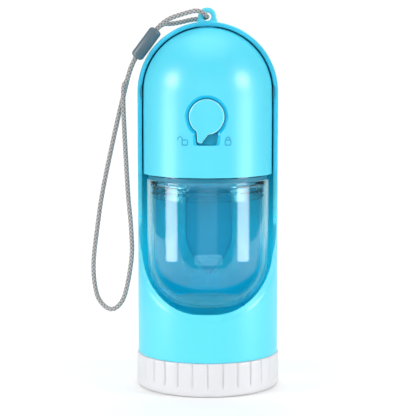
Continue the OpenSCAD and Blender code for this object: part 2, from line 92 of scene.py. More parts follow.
# %% Camera
CAMERA_AT = (0.0135, -0.742, 0.1728)
AIM_AT = (0.0001, 0.0, 0.0926)
LENS_MM = 123.5
camera_data = bpy.data.cameras.new("camera")
camera_data.lens = LENS_MM
camera_data.sensor_width = 36.0
camera_data.clip_start = 0.05
camera = bpy.data.objects.new("camera", camera_data)
camera.location = CAMERA_AT
drop = math.atan2(CAMERA_AT[2] - AIM_AT[2], AIM_AT[1] - CAMERA_AT[1])
turn_in = math.atan2(CAMERA_AT[0] - AIM_AT[0], AIM_AT[1] - CAMERA_AT[1])
camera.rotation_euler = (math.pi / 2 - drop, 0.0, turn_in)
bpy.context.scene.collection.objects.link(camera)
bpy.context.scene.camera = camera
bpy.context.scene.view_settings.view_transform = "Standard"
print("camera tilt", round(math.degrees(drop), 2), "degrees down")

# %% [markdown]
# ## Meshes from arrays
# Every new surface is a grid of points worked out with numpy: rows along one parameter, columns
# along the other. These helpers turn grids into faces, join several grids into one piece, and
# close seams and poles by merging points that lie on each other.

# %% Mesh helpers
def grid_faces(rows, cols, wrap_cols=False, wrap_rows=False):
    """Quads between neighbouring rows and columns; a wrapped direction joins end to start."""
    i = np.arange(rows if wrap_rows else rows - 1)
    j = np.arange(cols if wrap_cols else cols - 1)
    a, b = np.meshgrid(i, j, indexing="ij")
    a2, b2 = (a + 1) % rows, (b + 1) % cols
    quads = np.stack([a * cols + b, a * cols + b2, a2 * cols + b2, a2 * cols + b], axis=-1)
    return quads.reshape(-1, 4)


def join_parts(parts):
    """One list of points and faces from several, each part's face numbers moved past the last's."""
    points, faces, start = [], [], 0
    for part_points, part_faces in parts:
        points.append(np.asarray(part_points).reshape(-1, 3))
        faces.append(np.asarray(part_faces) + start)
        start += len(points[-1])
    return np.concatenate(points), np.concatenate(faces)


def merged_mesh(name, points, faces, merge=2e-6):
    """A mesh with doubled points merged, flat slivers dropped and faces turned outwards."""
    mesh = bpy.data.meshes.new(name)
    mesh.from_pydata(np.asarray(points).reshape(-1, 3).tolist(), [], np.asarray(faces).tolist())
    bm = bmesh.new()
    bm.from_mesh(mesh)
    bmesh.ops.remove_doubles(bm, verts=bm.verts, dist=merge)
    bmesh.ops.dissolve_degenerate(bm, edges=bm.edges, dist=merge)
    bmesh.ops.recalc_face_normals(bm, faces=bm.faces)
    bm.to_mesh(mesh)
    bm.free()
    return mesh


def piece(name, points, faces, material, body, slot, sharp=35, replaces=(), modify=None):
    """A finished piece: mesh, applied modifiers, smooth shading up to an angle, finish, body."""
    obj = bpy.data.objects.new(name, merged_mesh(name, points, faces))
    bpy.context.scene.collection.objects.link(obj)
    if modify:
        modify(obj)
        bpy.context.view_layer.update()
        depsgraph = bpy.context.evaluated_depsgraph_get()
        finished = bpy.data.meshes.new_from_object(obj.evaluated_get(depsgraph))
        obj.modifiers.clear()
        obj.data = finished
    mesh = obj.data
    mesh.polygons.foreach_set("use_smooth", np.ones(len(mesh.polygons), bool))
    mesh.set_sharp_from_angle(angle=math.radians(sharp))
    mesh.materials.clear()
    mesh.materials.append(material)
    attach(obj, body)
    if replaces:
        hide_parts(*replaces)
    print(name, len(mesh.polygons), "faces")
    return obj


def face_values(obj, what):
    """Three numbers for each face: its centre or its normal."""
    values = np.empty(3 * len(obj.data.polygons))
    obj.data.polygons.foreach_get(what, values)
    return values.reshape(-1, 3)


def more_finishes(obj, finish_of_face, *materials):
    """Adds materials to a piece and gives each face its own by number; 0 is the first material."""
    for material in materials:
        obj.data.materials.append(material)
    obj.data.polygons.foreach_set("material_index", finish_of_face.astype(int))


def ramp(x, low, high):
    """Smooth step: 0 below low, 1 above high, an S curve between."""
    t = np.clip((x - low) / (high - low), 0.0, 1.0)
    return t * t * (3 - 2 * t)

# %% [markdown]
# ## Colours and materials
# Colours are sRGB hex, matched against the photograph, and one function turns them to linear light.
# A material starts from the real thing: moulded ABS, polypropylene, clear copolyester, braid. One
# helper adds a node with its settings, and another feeds values into the sockets of a node.

# %% Colour and node helpers
def linear(hex_colour):
    """sRGB hex to linear red, green, blue and alpha, by the standard curve."""
    srgb = np.array([int(hex_colour[k:k + 2], 16) for k in (0, 2, 4)]) / 255.0
    low = srgb / 12.92
    high = ((srgb + 0.055) / 1.055) ** 2.4
    return (*np.where(srgb <= 0.04045, low, high).tolist(), 1.0)


def add(material, kind, inputs=None, links=None, **settings):
    """Adds one node, sets its properties and unlinked inputs, and links its other inputs."""
    node = material.node_tree.nodes.new(kind)
    for key, value in settings.items():
        setattr(node, key, value)
    for key, value in (inputs or {}).items():
        node.inputs[key].default_value = value
    for key, source in (links or {}).items():
        material.node_tree.links.new(source, node.inputs[key])
    return node


def feed(material, node, **sources):
    """Links each source to the socket of that name; an underscore stands for a space."""
    for key, source in sources.items():
        material.node_tree.links.new(source, node.inputs[key.replace("_", " ")])


def start_material(name, **constants):
    """A new material with a Principled shader whose constant sockets are set directly."""
    material = bpy.data.materials.new(name)
    material.use_nodes = True
    material.node_tree.nodes.clear()
    shader = add(material, "ShaderNodeBsdfPrincipled")
    for key, value in constants.items():
        shader.inputs[key.replace("_", " ")].default_value = value
    out = add(material, "ShaderNodeOutputMaterial", links={"Surface": shader.outputs["BSDF"]})
    coords = add(material, "ShaderNodeTexCoord")
    return material, shader, coords, out

# %% [markdown]
# ### Moulded plastics
# An injection-moulded wall is never one flat colour: flow marks shift it a little over a few
# centimetres, and the spark-eroded mould leaves a grain of about a quarter of a millimetre that
# breaks the gloss. Both come from noise in object space, at their real scale. The stronger blues
# inside are painted light and shade: a brighter, stronger blue on the inner wall stands in for light
# that bounces between the walls, and the darker blues in the channel and the dish round the button
# are painted shade. Rubber and blackened steel use the same recipe.

# %% Moulded plastic
def moulded(name, light_hex, deep_hex, grain_mm, grain_depth_mm, rough, **constants):
    """Plastic with slow colour flow, a fine mould grain as bump, and gloss that varies with it."""
    material, shader, coords, _ = start_material(name, **constants)
    place = coords.outputs["Object"]
    flow = add(material, "ShaderNodeTexNoise", {"Scale": 1 / (35 * MM), "Detail": 2.0},
               {"Vector": place})
    mix = add(material, "ShaderNodeMixRGB",
              {"Color1": linear(light_hex), "Color2": linear(deep_hex)},
              {"Fac": flow.outputs["Fac"]})
    grain = add(material, "ShaderNodeTexNoise", {"Scale": 1 / (grain_mm * MM), "Detail": 3.0},
                {"Vector": place})
    gloss = add(material, "ShaderNodeMapRange", {"To Min": rough - 0.04, "To Max": rough + 0.05},
                {"Value": grain.outputs["Fac"]})
    bump = add(material, "ShaderNodeBump", {"Strength": 0.35, "Distance": grain_depth_mm * MM},
               {"Height": grain.outputs["Fac"]})
    feed(material, shader, Base_Color=mix.outputs["Color"], Roughness=gloss.outputs["Result"],
         Normal=bump.outputs["Normal"])
    return material


BLUE_ABS = moulded("satin_blue_moulded_abs", "5FE1F8", "56DAF4", 0.28, 0.006, 0.36, IOR=1.5)
# Painted bounce light: a brighter, stronger blue for the inner wall, the slot floor and the divider
# disc.
BOUNCE_LIGHT_PAINT_ABS = moulded("blue_abs_inner_wall", "22E4FC", "1CDCF8", 0.28, 0.006, 0.35, IOR=1.5)
PIVOT_PP = moulded("deep_blue_moulded_washer", "1F93B4", "1A87A8", 0.2, 0.006, 0.45, IOR=1.49)
WHITE_PP = moulded("white_moulded_polypropylene", "E3E3E6", "DADADD", 0.3, 0.008, 0.42, IOR=1.49)
SLATE_PP = moulded("slate_moulded_polypropylene", "5E7480", "546A76", 0.25, 0.01, 0.4, IOR=1.49)
SEAL_TEAL = moulded("teal_silicone_rubber", "1C86A2", "177A96", 0.25, 0.008, 0.5, IOR=1.41)
DARK_STEEL = moulded("blackened_pivot_steel", "30383E", "283036", 0.3, 0.003, 0.35, Metallic=1.0)
SILICONE = moulded("frosted_silicone_rubber", "E6EBEC", "DCE3E5", 0.2, 0.01, 0.55, IOR=1.41)
NYLON = moulded("natural_turned_nylon", "ECE9DF", "E4E0D4", 0.2, 0.006, 0.45, IOR=1.53)
# Painted shade: a darker blue for the fine raised padlock lines.
MARK_SHADE_PAINT_ABS = moulded("pressed_mark_abs", "06AEDC", "04A4D2", 0.2, 0.004, 0.4, IOR=1.5)
# Painted highlight: a pale blue for the rounded edge of the button.
EDGE_HIGHLIGHT_PAINT_ABS = moulded("pale_rounded_edge_abs", "B4F6FF", "A8F2FD", 0.3, 0.004, 0.3, IOR=1.5)
# Painted shade: a darker blue for the shallow channel on the back wall inside.
CHANNEL_SHADE_PAINT_ABS = moulded("deep_blue_channel_abs", "06CEF0", "04C6EA", 0.3, 0.006, 0.35, IOR=1.5)
# Painted shade: a darker blue for the dish round the button.
DISH_SHADE_PAINT_ABS = moulded("deep_blue_polished_abs", "06C8F2", "04BEE8", 0.3, 0.004, 0.3, IOR=1.5)

# %% [markdown]
# ### Clear tank
# The tank is blown copolyester: clear, faintly blue, with very slight waviness in the wall. A
# solid wall with its own inner face bends light at its edges as the real one does, so it needs
# real transmission. Lamp light and soft bounced light pass straight through a thin wall, so for
# those rays the wall is only a faint tint: otherwise the trough behind it would lie in the dark.
# Seen edge-on, the wall lets less light through and shows its own pale tint: a painted highlight
# that stands in for bright light bent round the wall's edge. The collar's copy has no painted pale
# edge.

# %% Clear copolyester
CLEAR, clear_shader, clear_coords, clear_out = start_material(
    "clear_blown_copolyester", IOR=1.42, Transmission_Weight=1.0, Roughness=0.02,
    Specular_IOR_Level=0.3)
wave = add(CLEAR, "ShaderNodeTexNoise", {"Scale": 1 / (14 * MM), "Detail": 1.0},
           {"Vector": clear_coords.outputs["Object"]})
wave_bump = add(CLEAR, "ShaderNodeBump", {"Strength": 0.15, "Distance": 0.25 * MM},
                {"Height": wave.outputs["Fac"]})
clear_tint = add(CLEAR, "ShaderNodeMixRGB",
                 {"Color1": linear("E2FEFF"), "Color2": linear("D6FBFF")},
                 {"Fac": wave.outputs["Fac"]})
# Painted highlight: where the wall is seen edge-on, less light passes through and the pale tint
# shows.
edge_on = add(CLEAR, "ShaderNodeLayerWeight", {"Blend": 0.5})
pale_edge_paint = add(CLEAR, "ShaderNodeMapRange",
                {"From Min": 0.56, "From Max": 0.74, "To Min": 1.0, "To Max": 0.3},
                {"Value": edge_on.outputs["Facing"]})
feed(CLEAR, clear_shader, Transmission_Weight=pale_edge_paint.outputs["Result"],
     Base_Color=clear_tint.outputs["Color"], Normal=wave_bump.outputs["Normal"])
rays = add(CLEAR, "ShaderNodeLightPath")
passing = add(CLEAR, "ShaderNodeMath", operation="MAXIMUM",
              links={0: rays.outputs["Is Shadow Ray"], 1: rays.outputs["Is Diffuse Ray"]})
thin_wall = add(CLEAR, "ShaderNodeBsdfTransparent", {"Color": linear("EFFBFE")})
clear_mix = add(CLEAR, "ShaderNodeMixShader", links={"Fac": passing.outputs["Value"],
                                                     1: clear_shader.outputs["BSDF"],
                                                     2: thin_wall.outputs["BSDF"]})
feed(CLEAR, clear_out, Surface=clear_mix.outputs["Shader"])

COLLAR_CLEAR = CLEAR.copy()
COLLAR_CLEAR.name = "clear_moulded_collar"
for link in list(COLLAR_CLEAR.node_tree.links):
    if link.to_socket.name == "Transmission Weight":
        COLLAR_CLEAR.node_tree.links.remove(link)

# %% [markdown]
# ### Steel
# The spring, the seal's washer and its screw are stainless steel with fine draw lines: a stretched
# noise changes the roughness slightly along one direction.

# %% Drawn steel
STEEL, steel_shader, steel_coords, _ = start_material("drawn_stainless_steel", Metallic=1.0)
steel_map = add(STEEL, "ShaderNodeMapping", {"Scale": (1.0, 12.0, 1.0)},
                {"Vector": steel_coords.outputs["Object"]})
steel_lines = add(STEEL, "ShaderNodeTexNoise", {"Scale": 1 / (0.6 * MM), "Detail": 2.0},
                  {"Vector": steel_map.outputs["Vector"]})
steel_gloss = add(STEEL, "ShaderNodeMapRange", {"To Min": 0.22, "To Max": 0.38},
                  {"Value": steel_lines.outputs["Fac"]})
steel_tone = add(STEEL, "ShaderNodeMixRGB",
                 {"Color1": linear("C9CBCD"), "Color2": linear("B7BABD")},
                 {"Fac": steel_lines.outputs["Fac"]})
feed(STEEL, steel_shader, Roughness=steel_gloss.outputs["Result"],
     Base_Color=steel_tone.outputs["Color"])

# %% [markdown]
# ### Braided polyester
# The lanyard is a round braid of light grey yarns. Its mesh carries the height of the yarns as an
# attribute, so the colours follow the braid wherever the cord bends; the low gaps between the yarns
# are dark grey, which is painted shade. The sheen of spun yarn softens the edges.

# %% Braided cord
CORD, cord_shader, cord_coords, _ = start_material("braided_polyester_cord", Roughness=0.85,
                                                    Sheen_Weight=0.4, IOR=1.45)
yarns = add(CORD, "ShaderNodeAttribute", attribute_name="yarn_height")
# Painted shade: the low gaps between the yarns get the dark grey, the high yarns the light grey.
yarn_and_gap_shade = add(CORD, "ShaderNodeValToRGB", links={"Fac": yarns.outputs["Fac"]})
yarn_and_gap_shade.color_ramp.elements[0].position = 0.25
yarn_and_gap_shade.color_ramp.elements[0].color = linear("43494F")
yarn_and_gap_shade.color_ramp.elements[1].position = 0.75
yarn_and_gap_shade.color_ramp.elements[1].color = linear("BDB8B6")
fibres = add(CORD, "ShaderNodeTexNoise", {"Scale": 1 / (0.18 * MM), "Detail": 3.0},
             {"Vector": cord_coords.outputs["Object"]})
fibre_tone = add(CORD, "ShaderNodeMixRGB", {"Color2": linear("787C80")},
                 {"Color1": yarn_and_gap_shade.outputs["Color"]})
fibre_share = add(CORD, "ShaderNodeMapRange", {"From Min": 0.45, "From Max": 0.75, "To Max": 0.6},
                  {"Value": fibres.outputs["Fac"]})
feed(CORD, fibre_tone, Fac=fibre_share.outputs["Result"])
fibre_bump = add(CORD, "ShaderNodeBump", {"Strength": 0.5, "Distance": 0.06 * MM},
                 {"Height": fibres.outputs["Fac"]})
feed(CORD, cord_shader, Base_Color=fibre_tone.outputs["Color"],
     Normal=fibre_bump.outputs["Normal"])
print("materials:", len(bpy.data.materials))

# %% [markdown]
# ## Lanyard cord
# One cord: it starts in the sleeve, runs over the dome's shoulder and through the lug's eye, comes
# back, passes through the sleeve, hangs down in a long loop and ends in the sleeve. The route's
# points are listed and joined by one smooth curve. The braid is real relief: the radius
# rises and falls where two sets of yarns wind round it in opposite directions.

# %% Cord route
CORD_ROUTE = np.array([
    [-31.3, -4.4, 178.4], [-28.6, -4.4, 182], [-25.6, -4.4, 186], [-21.6, -5, 189.4],
    [-17.2, -5.4, 191.6], [-8.6, -5.9, 194.2], [-5.2, -5.6, 194.6],
    [-2.4, -4.6, 193.6], [-0.7, -2.6, 192.2], [-0.3, 0, 191.8], [-0.8, 2.6, 191.6],
    [-2.6, 4.4, 191.2], [-5.4, 5.2, 190.8], [-9, 4.9, 190.3], [-14.4, 3, 189],
    [-19.2, 1.2, 188.2], [-22.6, -0.8, 188], [-25.6, -1.8, 186], [-28.6, -1.8, 182],
    [-34.6, -1.8, 174], [-37.6, -1.8, 170], [-40.2, -1.6, 164.5],
    [-43.4, -1, 152.5], [-47, 0.4, 138.5], [-54.7, 2, 103.8],
    [-58, 2, 83.2], [-60.3, 1.4, 62.5], [-58.9, 0, 48.4], [-55.4, -2.2, 42],
    [-50.6, -4.2, 39.6], [-46, -5.4, 42.4], [-42.6, -5.8, 50], [-39.6, -5.4, 68],
    [-40, -4.8, 84], [-41.6, -4.6, 104], [-43.6, -4.6, 150],
    [-41.4, -4.4, 160], [-37.6, -4.4, 170], [-34.6, -4.4, 174], [-31.9, -4.4, 177.6]]) * MM
CORD_R = 1.25 * MM
CORD_STEP = 0.26 * MM


def smooth_route(points, step):
    """Catmull-Rom curve through the points, cut into pieces of about one step length."""
    ends = np.concatenate([points[:1], points, points[-1:]])
    line = []
    for a, b, c, d in zip(ends, ends[1:], ends[2:], ends[3:]):
        count = max(2, int(np.linalg.norm(c - b) / step))
        t = (np.arange(count) / count)[:, None]
        line.append(0.5 * (2 * b + (c - a) * t + (2 * a - 5 * b + 4 * c - d) * t * t
                           + (3 * b - a - 3 * c + d) * t ** 3))
    return np.concatenate(line + [points[-1:]])


def carried_frames(line):
    """Directions along the line and two side vectors that follow it without twisting."""
    along = np.gradient(line, axis=0)
    along /= np.linalg.norm(along, axis=1)[:, None]
    side = np.empty_like(along)
    last = np.array([0.0, 1.0, 0.0])
    for k, direction in enumerate(along):
        last = last - direction * (last @ direction)
        last /= np.linalg.norm(last)
        side[k] = last
    return along, side, np.cross(along, side)


cord_line = smooth_route(CORD_ROUTE, CORD_STEP)
ring_steps = np.linalg.norm(np.diff(cord_line, axis=0), axis=1)
cord_lengths = np.concatenate([[0], np.cumsum(ring_steps)])

# %% Braided cord piece
CORD_SIDES = 24
YARNS_ROUND = 4
BRAID_PITCH = 2.1 * MM
RELIEF = 0.1
END_HEIGHT = 0.5
_, cord_side, cord_up = carried_frames(cord_line)
around = np.arange(CORD_SIDES) * 2 * math.pi / CORD_SIDES
length_grid, around_grid = np.meshgrid(cord_lengths, around, indexing="ij")
lay = length_grid * 2 * math.pi / BRAID_PITCH
over = np.abs(np.sin((YARNS_ROUND * around_grid + lay) / 2))
under = np.abs(np.sin((YARNS_ROUND * around_grid - lay) / 2))
on_top = np.where(np.sin(YARNS_ROUND * around_grid) > 0, over, under)
yarn_height = 0.65 * np.maximum(over, under) ** 2 + 0.35 * on_top
cord_radius = CORD_R * (1 - RELIEF + RELIEF * yarn_height)
cord_points = (cord_line[:, None, :]
               + cord_radius[..., None] * (np.cos(around_grid)[..., None] * cord_side[:, None, :]
                                           + np.sin(around_grid)[..., None] * cord_up[:, None, :]))
rings = len(cord_line)
cord_mesh_points = np.concatenate([cord_points.reshape(-1, 3), cord_line[:1], cord_line[-1:]])
hub_a, hub_b = rings * CORD_SIDES, rings * CORD_SIDES + 1
cord_quads = grid_faces(rings, CORD_SIDES, wrap_cols=True).tolist()
cord_ends = [[hub_a, (k + 1) % CORD_SIDES, k] for k in range(CORD_SIDES)]
last_ring = (rings - 1) * CORD_SIDES
cord_ends += [[hub_b, last_ring + k, last_ring + (k + 1) % CORD_SIDES] for k in range(CORD_SIDES)]
cord_mesh = bpy.data.meshes.new("lanyard_cord_braid")
cord_mesh.from_pydata(cord_mesh_points.tolist(), [], cord_quads + cord_ends)
height_values = np.concatenate([yarn_height.reshape(-1), [END_HEIGHT, END_HEIGHT]])
attribute = cord_mesh.attributes.new("yarn_height", "FLOAT", "POINT")
attribute.data.foreach_set("value", height_values.astype(np.float32))
bm = bmesh.new()
bm.from_mesh(cord_mesh)
bmesh.ops.recalc_face_normals(bm, faces=bm.faces)
bm.to_mesh(cord_mesh)
bm.free()
cord_mesh.polygons.foreach_set("use_smooth", np.ones(len(cord_mesh.polygons), bool))
cord_mesh.materials.append(CORD)
cord = bpy.data.objects.new("lanyard_cord_braid", cord_mesh)
bpy.context.scene.collection.objects.link(cord)
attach(cord, "trough")
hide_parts("lanyard_cord")

# %% [markdown]
# ## Sleeve
# The slider that holds the two strands together is a short moulded tube with a stadium section
# and softly rounded ends. Its wall is one closed loop of profile points carried round the section.

# %% Sleeve piece
SLEEVE_AT = np.array([-31.6, -3.1, 178.0]) * MM
SLEEVE_AXIS = np.array([0.6, 0.0, 0.8])
SLEEVE_SIDE = np.array([0.8, 0.0, -0.6])
SLEEVE_HALF = 9 * MM
STRANDS_APART = 2.6 * MM
bore_r, skin_r, round_r = 1.36 * MM, 3.27 * MM, 1.8 * MM
FLARE_R, FLARE_DEEP = 0.25 * MM, 0.3 * MM
quarter = np.linspace(0, math.pi / 2, 6)
corner_r = skin_r - round_r + round_r * np.sin(quarter)
corner_z = SLEEVE_HALF - round_r + round_r * np.cos(quarter)
profile_r = np.concatenate([[bore_r, bore_r + FLARE_R], corner_r, corner_r[::-1],
                            [bore_r + FLARE_R, bore_r]])
profile_z = np.concatenate([[SLEEVE_HALF - FLARE_DEEP, SLEEVE_HALF], corner_z, -corner_z[::-1],
                            [-SLEEVE_HALF, -SLEEVE_HALF + FLARE_DEEP]])
turn = np.linspace(0, 2 * math.pi, 64, endpoint=False)
core_y = np.where(np.sin(turn) >= 0, STRANDS_APART / 2, -STRANDS_APART / 2)
radial, stations = np.meshgrid(np.arange(len(profile_r)), np.arange(len(turn)), indexing="ij")
across = profile_r[radial] * np.cos(turn[stations])
deep = core_y[stations] + profile_r[radial] * np.sin(turn[stations])
sleeve_points = (SLEEVE_AT + across[..., None] * SLEEVE_SIDE
                 + deep[..., None] * np.array([0, 1.0, 0])
                 + profile_z[radial][..., None] * SLEEVE_AXIS)
sleeve = piece("lanyard_sleeve_moulded", sleeve_points,
               grid_faces(len(profile_r), len(turn), wrap_cols=True, wrap_rows=True),
               SLATE_PP, "trough", "sleeve_slate", sharp=50, replaces=("lanyard_sleeve",))

# %% [markdown]
# ## Trough shell
# The outer shell is a capsule whose front is scooped away. It is swept like a horseshoe: a profile
# runs round the wall from the mouth's rim to the middle of the back, and is carried up one side,
# over the arch and down the other. The rim angle at each height comes from the mouth's outline
# seen from the front and the scooped line seen from the side, so the edge is exact.

# %% Rim line of the mouth
MOUTH_HALF = SHELL_IN_R - 0.3 * MM
MOUTH_CORNER = 30 * MM
LIP_Z = 42.3 * MM
RIM_REACH = 6.5 * MM
SCOOP_R = 34 * MM
SCOOP_Z = 91.5 * MM


def rim_angle(z, radius):
    """Angle from the back's middle to the rim at height z: the nearer of mouth line and scoop."""
    rise = np.clip(LIP_Z + MOUTH_CORNER - z, 0, MOUTH_CORNER)
    half = MOUTH_HALF - MOUTH_CORNER + np.sqrt(MOUTH_CORNER ** 2 - rise ** 2)
    mouth = math.pi - np.arcsin(np.clip(half / radius, 0, 1))
    sink = np.clip(SCOOP_Z - z, 0, SCOOP_R)
    reach = RIM_REACH + SCOOP_R - np.sqrt(SCOOP_R ** 2 - sink ** 2)
    scoop = math.pi / 2 + np.arcsin(np.clip(reach / radius, 0, 1))
    return np.where(z < LIP_Z - 1e-9, math.pi, np.minimum(mouth, scoop))


def side_heights():
    """Heights of the rows up one side: close together at the lip, wider above."""
    corner_turn = np.linspace(0, math.pi / 2, 34)
    arc = LIP_Z + MOUTH_CORNER * (1 - np.cos(corner_turn))
    return np.concatenate([np.linspace(SHELL_BASE, 36 * MM, 14),
                           np.linspace(36.5 * MM, 42.1 * MM, 15), [LIP_Z - 0.004 * MM], arc,
                           np.linspace(73.5 * MM, 96 * MM, 18), np.linspace(98 * MM, FOLD_Z, 26)])


def horseshoe(radius, near_rim, columns):
    """Rows of wall points: up the left side, over the arch, down the right side."""
    heights = side_heights()
    arch = np.linspace(math.pi, 0, 98)[1:-1]
    z_row = np.concatenate([heights, np.full(len(arch), FOLD_Z), heights[::-1]])
    turn_row = np.concatenate([np.full(len(heights), math.pi), arch, np.zeros(len(heights))])
    rim = rim_angle(z_row, radius)
    share = np.linspace(0, 1, columns + 1)[1:]
    first = near_rim[None, :] / radius * np.ones((len(rim), 1))
    rest = near_rim[-1] / radius + share[None, :] * (rim[:, None] - near_rim[-1] / radius)
    from_back = np.clip(rim[:, None] - np.concatenate([first, rest], axis=1), 0, math.pi)
    out = radius * np.sin(from_back)
    x = out * np.cos(turn_row)[:, None]
    y = radius * np.cos(from_back)
    z = z_row[:, None] + out * np.sin(turn_row)[:, None]
    return np.stack([x, y, z], axis=-1)


NEAR_RIM = np.array([0, 0.25, 0.6, 1.1, 1.6, 2.1, 2.6, 2.9, 3.2, 3.5, 4.2]) * MM
WALL_COLS = 78
outer_wall = horseshoe(SHELL_R, NEAR_RIM, WALL_COLS)
inner_wall = horseshoe(SHELL_IN_R, NEAR_RIM, WALL_COLS)
print("shell grid", outer_wall.shape)

# %% [markdown]
# The lower part of the mouth has a stepped band: the outer face is set back 0.4 mm for 3 mm round
# the lip. The distance to the mouth's outline decides how far each point is set back. On the back
# wall inside, a shallow channel with a pointed foot guides the water down.

# %% Band and channel
BAND_W = 3.1 * MM
BAND_DEPTH = 0.4 * MM
TONGUE_HALF = 12.9 * MM
TONGUE_Z = 74 * MM
TONGUE_DEEP = 1.1 * MM
TONGUE_POINT = 22.5 * MM
TONGUE_FOOT = 50 * MM
TONGUE_TOP = 117 * MM


def mouth_distance(x, z):
    """Distance outside the mouth's outline, from the front: a box with round lower corners."""
    qx = np.abs(x) - (MOUTH_HALF - MOUTH_CORNER)
    qz = LIP_Z + MOUTH_CORNER - z
    rounded = np.hypot(np.maximum(qx, 0), np.maximum(qz, 0)) - MOUTH_CORNER
    return np.where(qz > 0, rounded, np.abs(x) - MOUTH_HALF)


ox, oy, oz = outer_wall[..., 0], outer_wall[..., 1], outer_wall[..., 2]
band = 1 - ramp(mouth_distance(ox, oz), BAND_W - 0.35 * MM, BAND_W + 0.1 * MM)
band *= ramp(-oy, 9 * MM, 15 * MM) * (1 - ramp(oz, 70 * MM, 78 * MM))
shrink = (1 - BAND_DEPTH * band / SHELL_R)[..., None]
outer_wall = np.where((oz < FOLD_Z)[..., None], outer_wall * np.array([1, 1, 0]) * shrink
                      + outer_wall * np.array([0, 0, 1]), outer_wall)
ix, iy, iz = inner_wall[..., 0], inner_wall[..., 1], inner_wall[..., 2]
fall = np.clip((TONGUE_Z - iz) / TONGUE_POINT, 0, 1)
tongue_edge = TONGUE_HALF * (1 - fall ** 1.7) - np.abs(ix)
tongue = ramp(tongue_edge, -0.3 * MM, 0.5 * MM) * (iy > 0)
tongue = tongue * (iz < TONGUE_TOP) * (iz > TONGUE_FOOT)
grow = (1 + TONGUE_DEEP * tongue / SHELL_IN_R)[..., None]
inner_wall = inner_wall * np.concatenate([grow, grow, np.ones_like(grow)], axis=-1)

# %% [markdown]
# The lug on top is a small plate with an eye: a rounded loop of profile points carried round the
# eye, flaring into the dome at its foot. The threaded skirt below goes inside the base cap.

# %% Lug and skirt
LUG_R = 4.7 * MM
EYE = np.array([-0.3, 0.0, 191.8]) * MM
EYE_R = 2.1 * MM
LUG_HALF_T = 2.5 * MM
LUG_ROUND = 0.9 * MM
LUG_FLARE = 2.6 * MM
EYE_ROUND = 0.3 * MM


def lug_points():
    """Rounded-rectangle loop between the eye and the lug's outline, carried round the eye."""
    theta = np.linspace(0, 2 * math.pi, 72, endpoint=False)
    foot = ramp(-np.sin(theta), 0.05, 0.8)
    reach = LUG_R + foot * LUG_FLARE * np.abs(np.cos(theta)) ** 0.5
    q = np.linspace(0, math.pi / 2, 5)
    loop = [(0, -LUG_HALF_T + EYE_ROUND, 0), (0, -LUG_HALF_T, EYE_ROUND)]
    for face, turns in ((-1, q), (1, q[::-1])):
        loop += [(1, face * LUG_HALF_T - face * LUG_ROUND * (1 - math.cos(a)),
                  -LUG_ROUND * (1 - math.sin(a))) for a in turns]
    loop += [(0, LUG_HALF_T, EYE_ROUND), (0, LUG_HALF_T - EYE_ROUND, 0)]
    rows = []
    for outside, y, extra in loop:
        radius = (reach if outside else np.full_like(theta, EYE_R)) + extra
        rows.append(np.stack([EYE[0] + radius * np.cos(theta), np.full_like(theta, y),
                              EYE[2] + radius * np.sin(theta)], axis=-1))
    return np.array(rows)


def turned(profile, steps=128):
    """A closed profile of (radius, height) turned about the Z axis."""
    profile = np.asarray(profile)
    theta = np.linspace(0, 2 * math.pi, steps, endpoint=False)
    r, t = np.meshgrid(profile[:, 0], theta, indexing="ij")
    z = np.repeat(profile[:, 1][:, None], steps, axis=1)
    return np.stack([r * np.cos(t), r * np.sin(t), z], axis=-1)


# Corners of the ridge's section: whether each is on the crest, and its height beside the middle.
THREAD_SECTION = ((False, 0.8 * MM), (True, 0.35 * MM), (True, -0.35 * MM), (False, -0.8 * MM))
THREAD_SUNK = -0.4 * MM


def thread(core_r, start_z, turns, lead, height, side, steps=72):
    """A helical ridge of trapezoid section: side +1 stands out of a core, -1 stands into a bore."""
    count = int(turns * steps) + 1
    angle = np.arange(count) * 2 * math.pi / steps
    run_in = ramp(np.minimum(angle, angle[-1] - angle), 0, math.radians(40))
    rise = start_z + lead * angle / (2 * math.pi)
    rows = []
    for crest, half in THREAD_SECTION:
        radius = core_r + side * (height * run_in if crest else np.full_like(angle, THREAD_SUNK))
        rows.append(np.stack([radius * np.cos(angle), radius * np.sin(angle), rise + half],
                             axis=-1))
    points = np.stack(rows, axis=1)
    faces = grid_faces(count, 4, wrap_cols=True)
    caps = np.array([[0, 1, 2, 3], [4 * count - 1, 4 * count - 2, 4 * count - 3, 4 * count - 4]])
    return points, np.concatenate([faces, caps])


SKIRT_R = 33.2 * MM
SKIRT_LOW = 4 * MM
SKIRT_IN_R = SKIRT_R - 2 * MM
SKIRT_JOIN_R = SHELL_IN_R + 0.5 * MM
SKIRT_CUT = 0.3 * MM
SKIRT_JOIN_TOP = SHELL_BASE + 2.6 * MM
LEAD = 3 * MM
THREAD_HIGH = 1 * MM
THREAD_LOW = SKIRT_LOW + 2 * MM
skirt_profile = np.array([[SKIRT_IN_R, SKIRT_LOW], [SKIRT_R - SKIRT_CUT, SKIRT_LOW],
                          [SKIRT_R, SKIRT_LOW + SKIRT_CUT], [SKIRT_R, SHELL_BASE + SKIRT_CUT],
                          [SKIRT_JOIN_R, SHELL_BASE + SKIRT_CUT],
                          [SKIRT_JOIN_R, SKIRT_JOIN_TOP], [SKIRT_IN_R, SKIRT_JOIN_TOP]])
skirt = turned(skirt_profile)
lug = lug_points()

